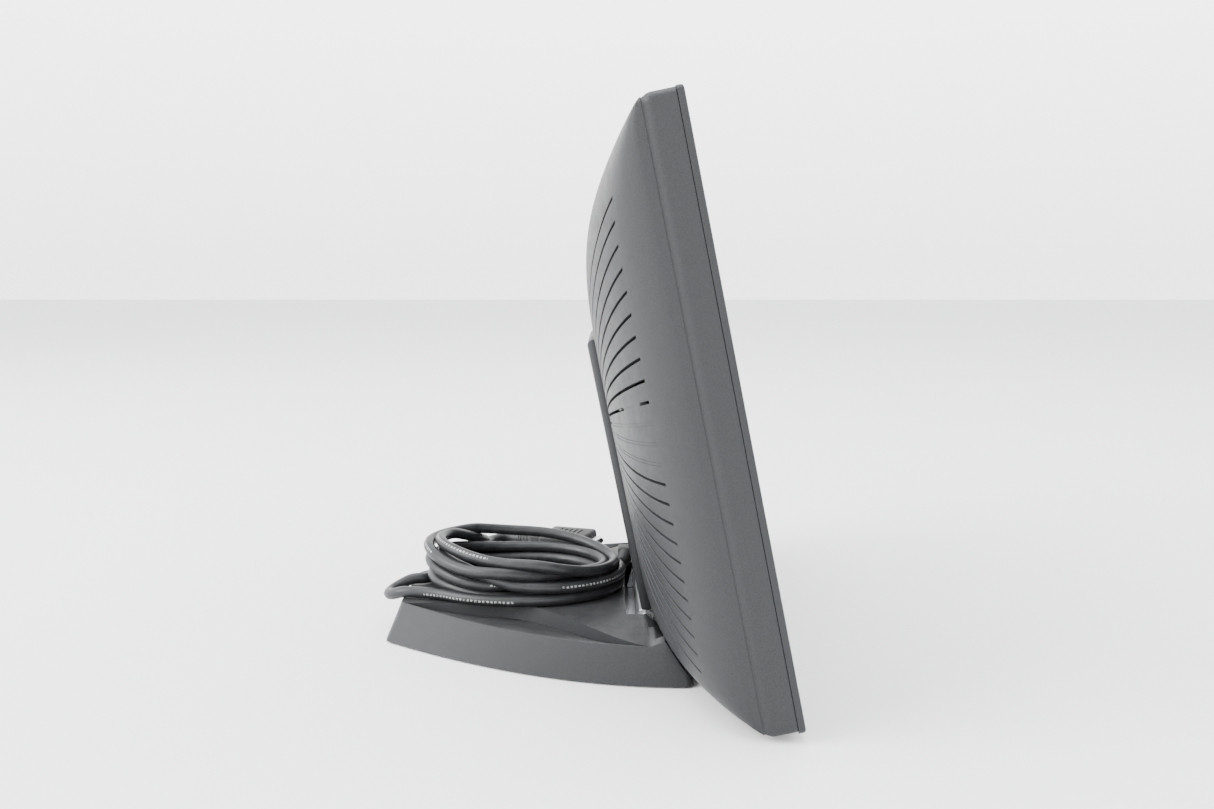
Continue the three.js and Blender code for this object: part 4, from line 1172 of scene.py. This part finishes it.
def smooth_step(value, low, high):
    share = min(max((value - low) / (high - low), 0.0), 1.0)
    return share * share * (3 - 2 * share)


def scoop_edge(y, half):
    """How far along the scoop a place is, and how far from the middle the scoop starts there."""
    plateau = bpy.context.scene.monitor_base.plateau_half / MM
    along = min(max((y - SCOOP_START) / (BASE_REAR - REAR_DRAFT - SCOOP_START), 0.0), 1.0)
    spread = 1 - smooth_step(along, 0, 0.62)
    edge = plateau * min(1, half / plateau - 0.02) + (half - plateau) * spread
    return along, min(edge, half - 1.4)


def base_top(x, y, half):
    """Height of the base's top surface, in millimetres."""
    base = bpy.context.scene.monitor_base
    height = base.height / MM
    lip = base.lip / MM * smooth_step(x, 66, 100)
    ends = NOSE_END - NOSE_REACH * smooth_step(x, 66, 98)
    ridge = height + lip * (1 - smooth_step(y, ends, ends + 9))
    if y < ends:
        share = (y - BASE_FRONT) / (ends - BASE_FRONT)
        return NOSE_FOOT + (ridge - NOSE_FOOT) * max(share, 0) ** 1.15
    along, edge = scoop_edge(y, half)
    if x <= edge:
        return ridge
    depth = base.scoop / MM * math.sin(math.pi * along) ** 0.7
    across = (x - edge) / max(half - 1.2 - edge, 0.2)
    if across >= 1:
        return ridge
    wall = min(across / 0.045, 1.0)
    bowl = (1 - across) ** 1.35
    return ridge - depth * wall * (0.25 * (1 - across) + 0.75 * bowl)


def base_form(name, inset, foot, drop):
    """The base's outside, or the room inside it, as rows from front to back."""
    shares = [*np.linspace(0, 0.028, 7), *np.linspace(0.034, 0.19, 34), *np.linspace(0.2, 0.97, 66)]
    shares += [*np.linspace(0.975, 1.0, 9)]
    rows = []
    for share in shares:
        ends = [BASE_REAR - REAR_DRAFT * draft - inset for draft in (0, 1)]
        y_foot, y_top = [BASE_FRONT + inset + (end - BASE_FRONT - inset) * share for end in ends]
        half_foot, half_top = flank(y_foot, 0, inset), flank(y_top, 1, inset)
        _, edge = scoop_edge(y_top, half_top)
        inner = [edge * part for part in (0.0, 0.25, 0.5, 0.75, 0.93)]
        room = half_top - 1.2 - edge
        scoop = [edge + room * part for part in SCOOP_PARTS]
        across = [*inner, edge - 0.3, *scoop, half_top - 0.5]
        side = [(x, y_top, base_top(x, y_top, half_top) - drop) for x in across]
        rim = base_top(half_top, y_top, half_top) - drop
        side.append((half_top - 0.15, y_top, rim - 0.12))
        for part in (0.03, 0.35, 0.7, 1.0):
            side.append(
                (
                    half_top + (half_foot - half_top) * part,
                    y_top + (y_foot - y_top) * part,
                    foot + max(rim - 0.5 - foot, 0.1) * (1 - part),
                )
            )
        *upper, last = side
        row = [Vector((-x, y, max(z, foot + 0.05))) for x, y, z in upper]
        row.append(Vector((-last[0], last[1], max(last[2], foot))))
        row = row[::-1] + [Vector((-p.x, p.y, p.z)) for p in row[1:]]
        rows.append([Vector((p.x, p.y + BASE_LOW.y / MM - BASE_FRONT, p.z)) * MM for p in row])
    return skinned(name, rows)


class MONITOR_OT_base(bpy.types.Operator):
    """The base's moulded cover, with a sloping nose, a scoop on each side and the slot for the neck"""

    bl_idname = "monitor.base"
    bl_label = "Base cover"

    def execute(self, context):
        cover = base_form("cover", 0.0, BASE_LOW.z / MM, 0.0)
        room = base_form("room", context.scene.monitor_base.wall / MM, -1.0, 3.1)
        front = BASE_LOW.y - 0.046
        slot = block("slot", (-0.0545, front + 0.056, -0.005), (0.0545, front + 0.080, 0.05))
        bevel(slot, lambda a, b: abs(a.z - b.z) > 0.01, 0.002, 4)
        combine(cover, [room, slot])
        done(cover, "base_shell", "stand", look("casing"), ["base_cover"], smooth=28)
        return {"FINISHED"}


class MONITOR_OT_finishes(bpy.types.Operator):
    """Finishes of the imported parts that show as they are"""

    bl_idname = "monitor.finishes"
    bl_label = "Finishes"

    def execute(self, context):
        for part in frame["record"]["subparts"]:
            node = frame["nodes"][part["node"]]
            finish = look("panel" if part["node"] == "lcd_cell" else part["material_slot"])
            node.data.materials.clear()
            node.data.materials.append(finish)
        return {"FINISHED"}


class MONITOR_PT_pieces(bpy.types.Panel):
    """Lists the pieces of the monitor"""

    bl_idname = "MONITOR_PT_pieces"
    bl_label = "Monitor"
    bl_space_type = "VIEW_3D"
    bl_region_type = "UI"
    bl_category = "Monitor"

    def draw(self, context):
        column = self.layout.column(align=True)
        for operator in OPERATORS:
            column.operator(operator.bl_idname)
        for group, title in GROUPS.items():
            column.separator()
            column.label(text=title[1])
            settings = getattr(context.scene, group)
            for key in settings.__annotations__:
                column.prop(settings, key)


OPERATORS = (
    MONITOR_OT_stage,
    MONITOR_OT_plug,
    MONITOR_OT_cable,
    MONITOR_OT_rear_cover,
    MONITOR_OT_bezel,
    MONITOR_OT_buttons,
    MONITOR_OT_neck,
    MONITOR_OT_base,
    MONITOR_OT_finishes,
)
GROUPS = {
    "monitor_head": (HeadSettings, "Head"),
    "monitor_vents": (VentSettings, "Slots"),
    "monitor_base": (BaseSettings, "Base"),
    "monitor_cable": (CableSettings, "Cable"),
    "monitor_stage": (StageSettings, "Stage"),
}


def register():
    for group, (kind, _) in GROUPS.items():
        bpy.utils.register_class(kind)
        setattr(bpy.types.Scene, group, bpy.props.PointerProperty(type=kind))
    for kind in (*OPERATORS, MONITOR_PT_pieces):
        bpy.utils.register_class(kind)


def unregister():
    for kind in (MONITOR_PT_pieces, *reversed(OPERATORS)):
        bpy.utils.unregister_class(kind)
    for group, (kind, _) in GROUPS.items():
        delattr(bpy.types.Scene, group)
        bpy.utils.unregister_class(kind)


def main():
    register()
    for operator in OPERATORS:
        group, name = operator.bl_idname.split(".")
        getattr(getattr(bpy.ops, group), name)()


if __name__ == "__main__":
    main()
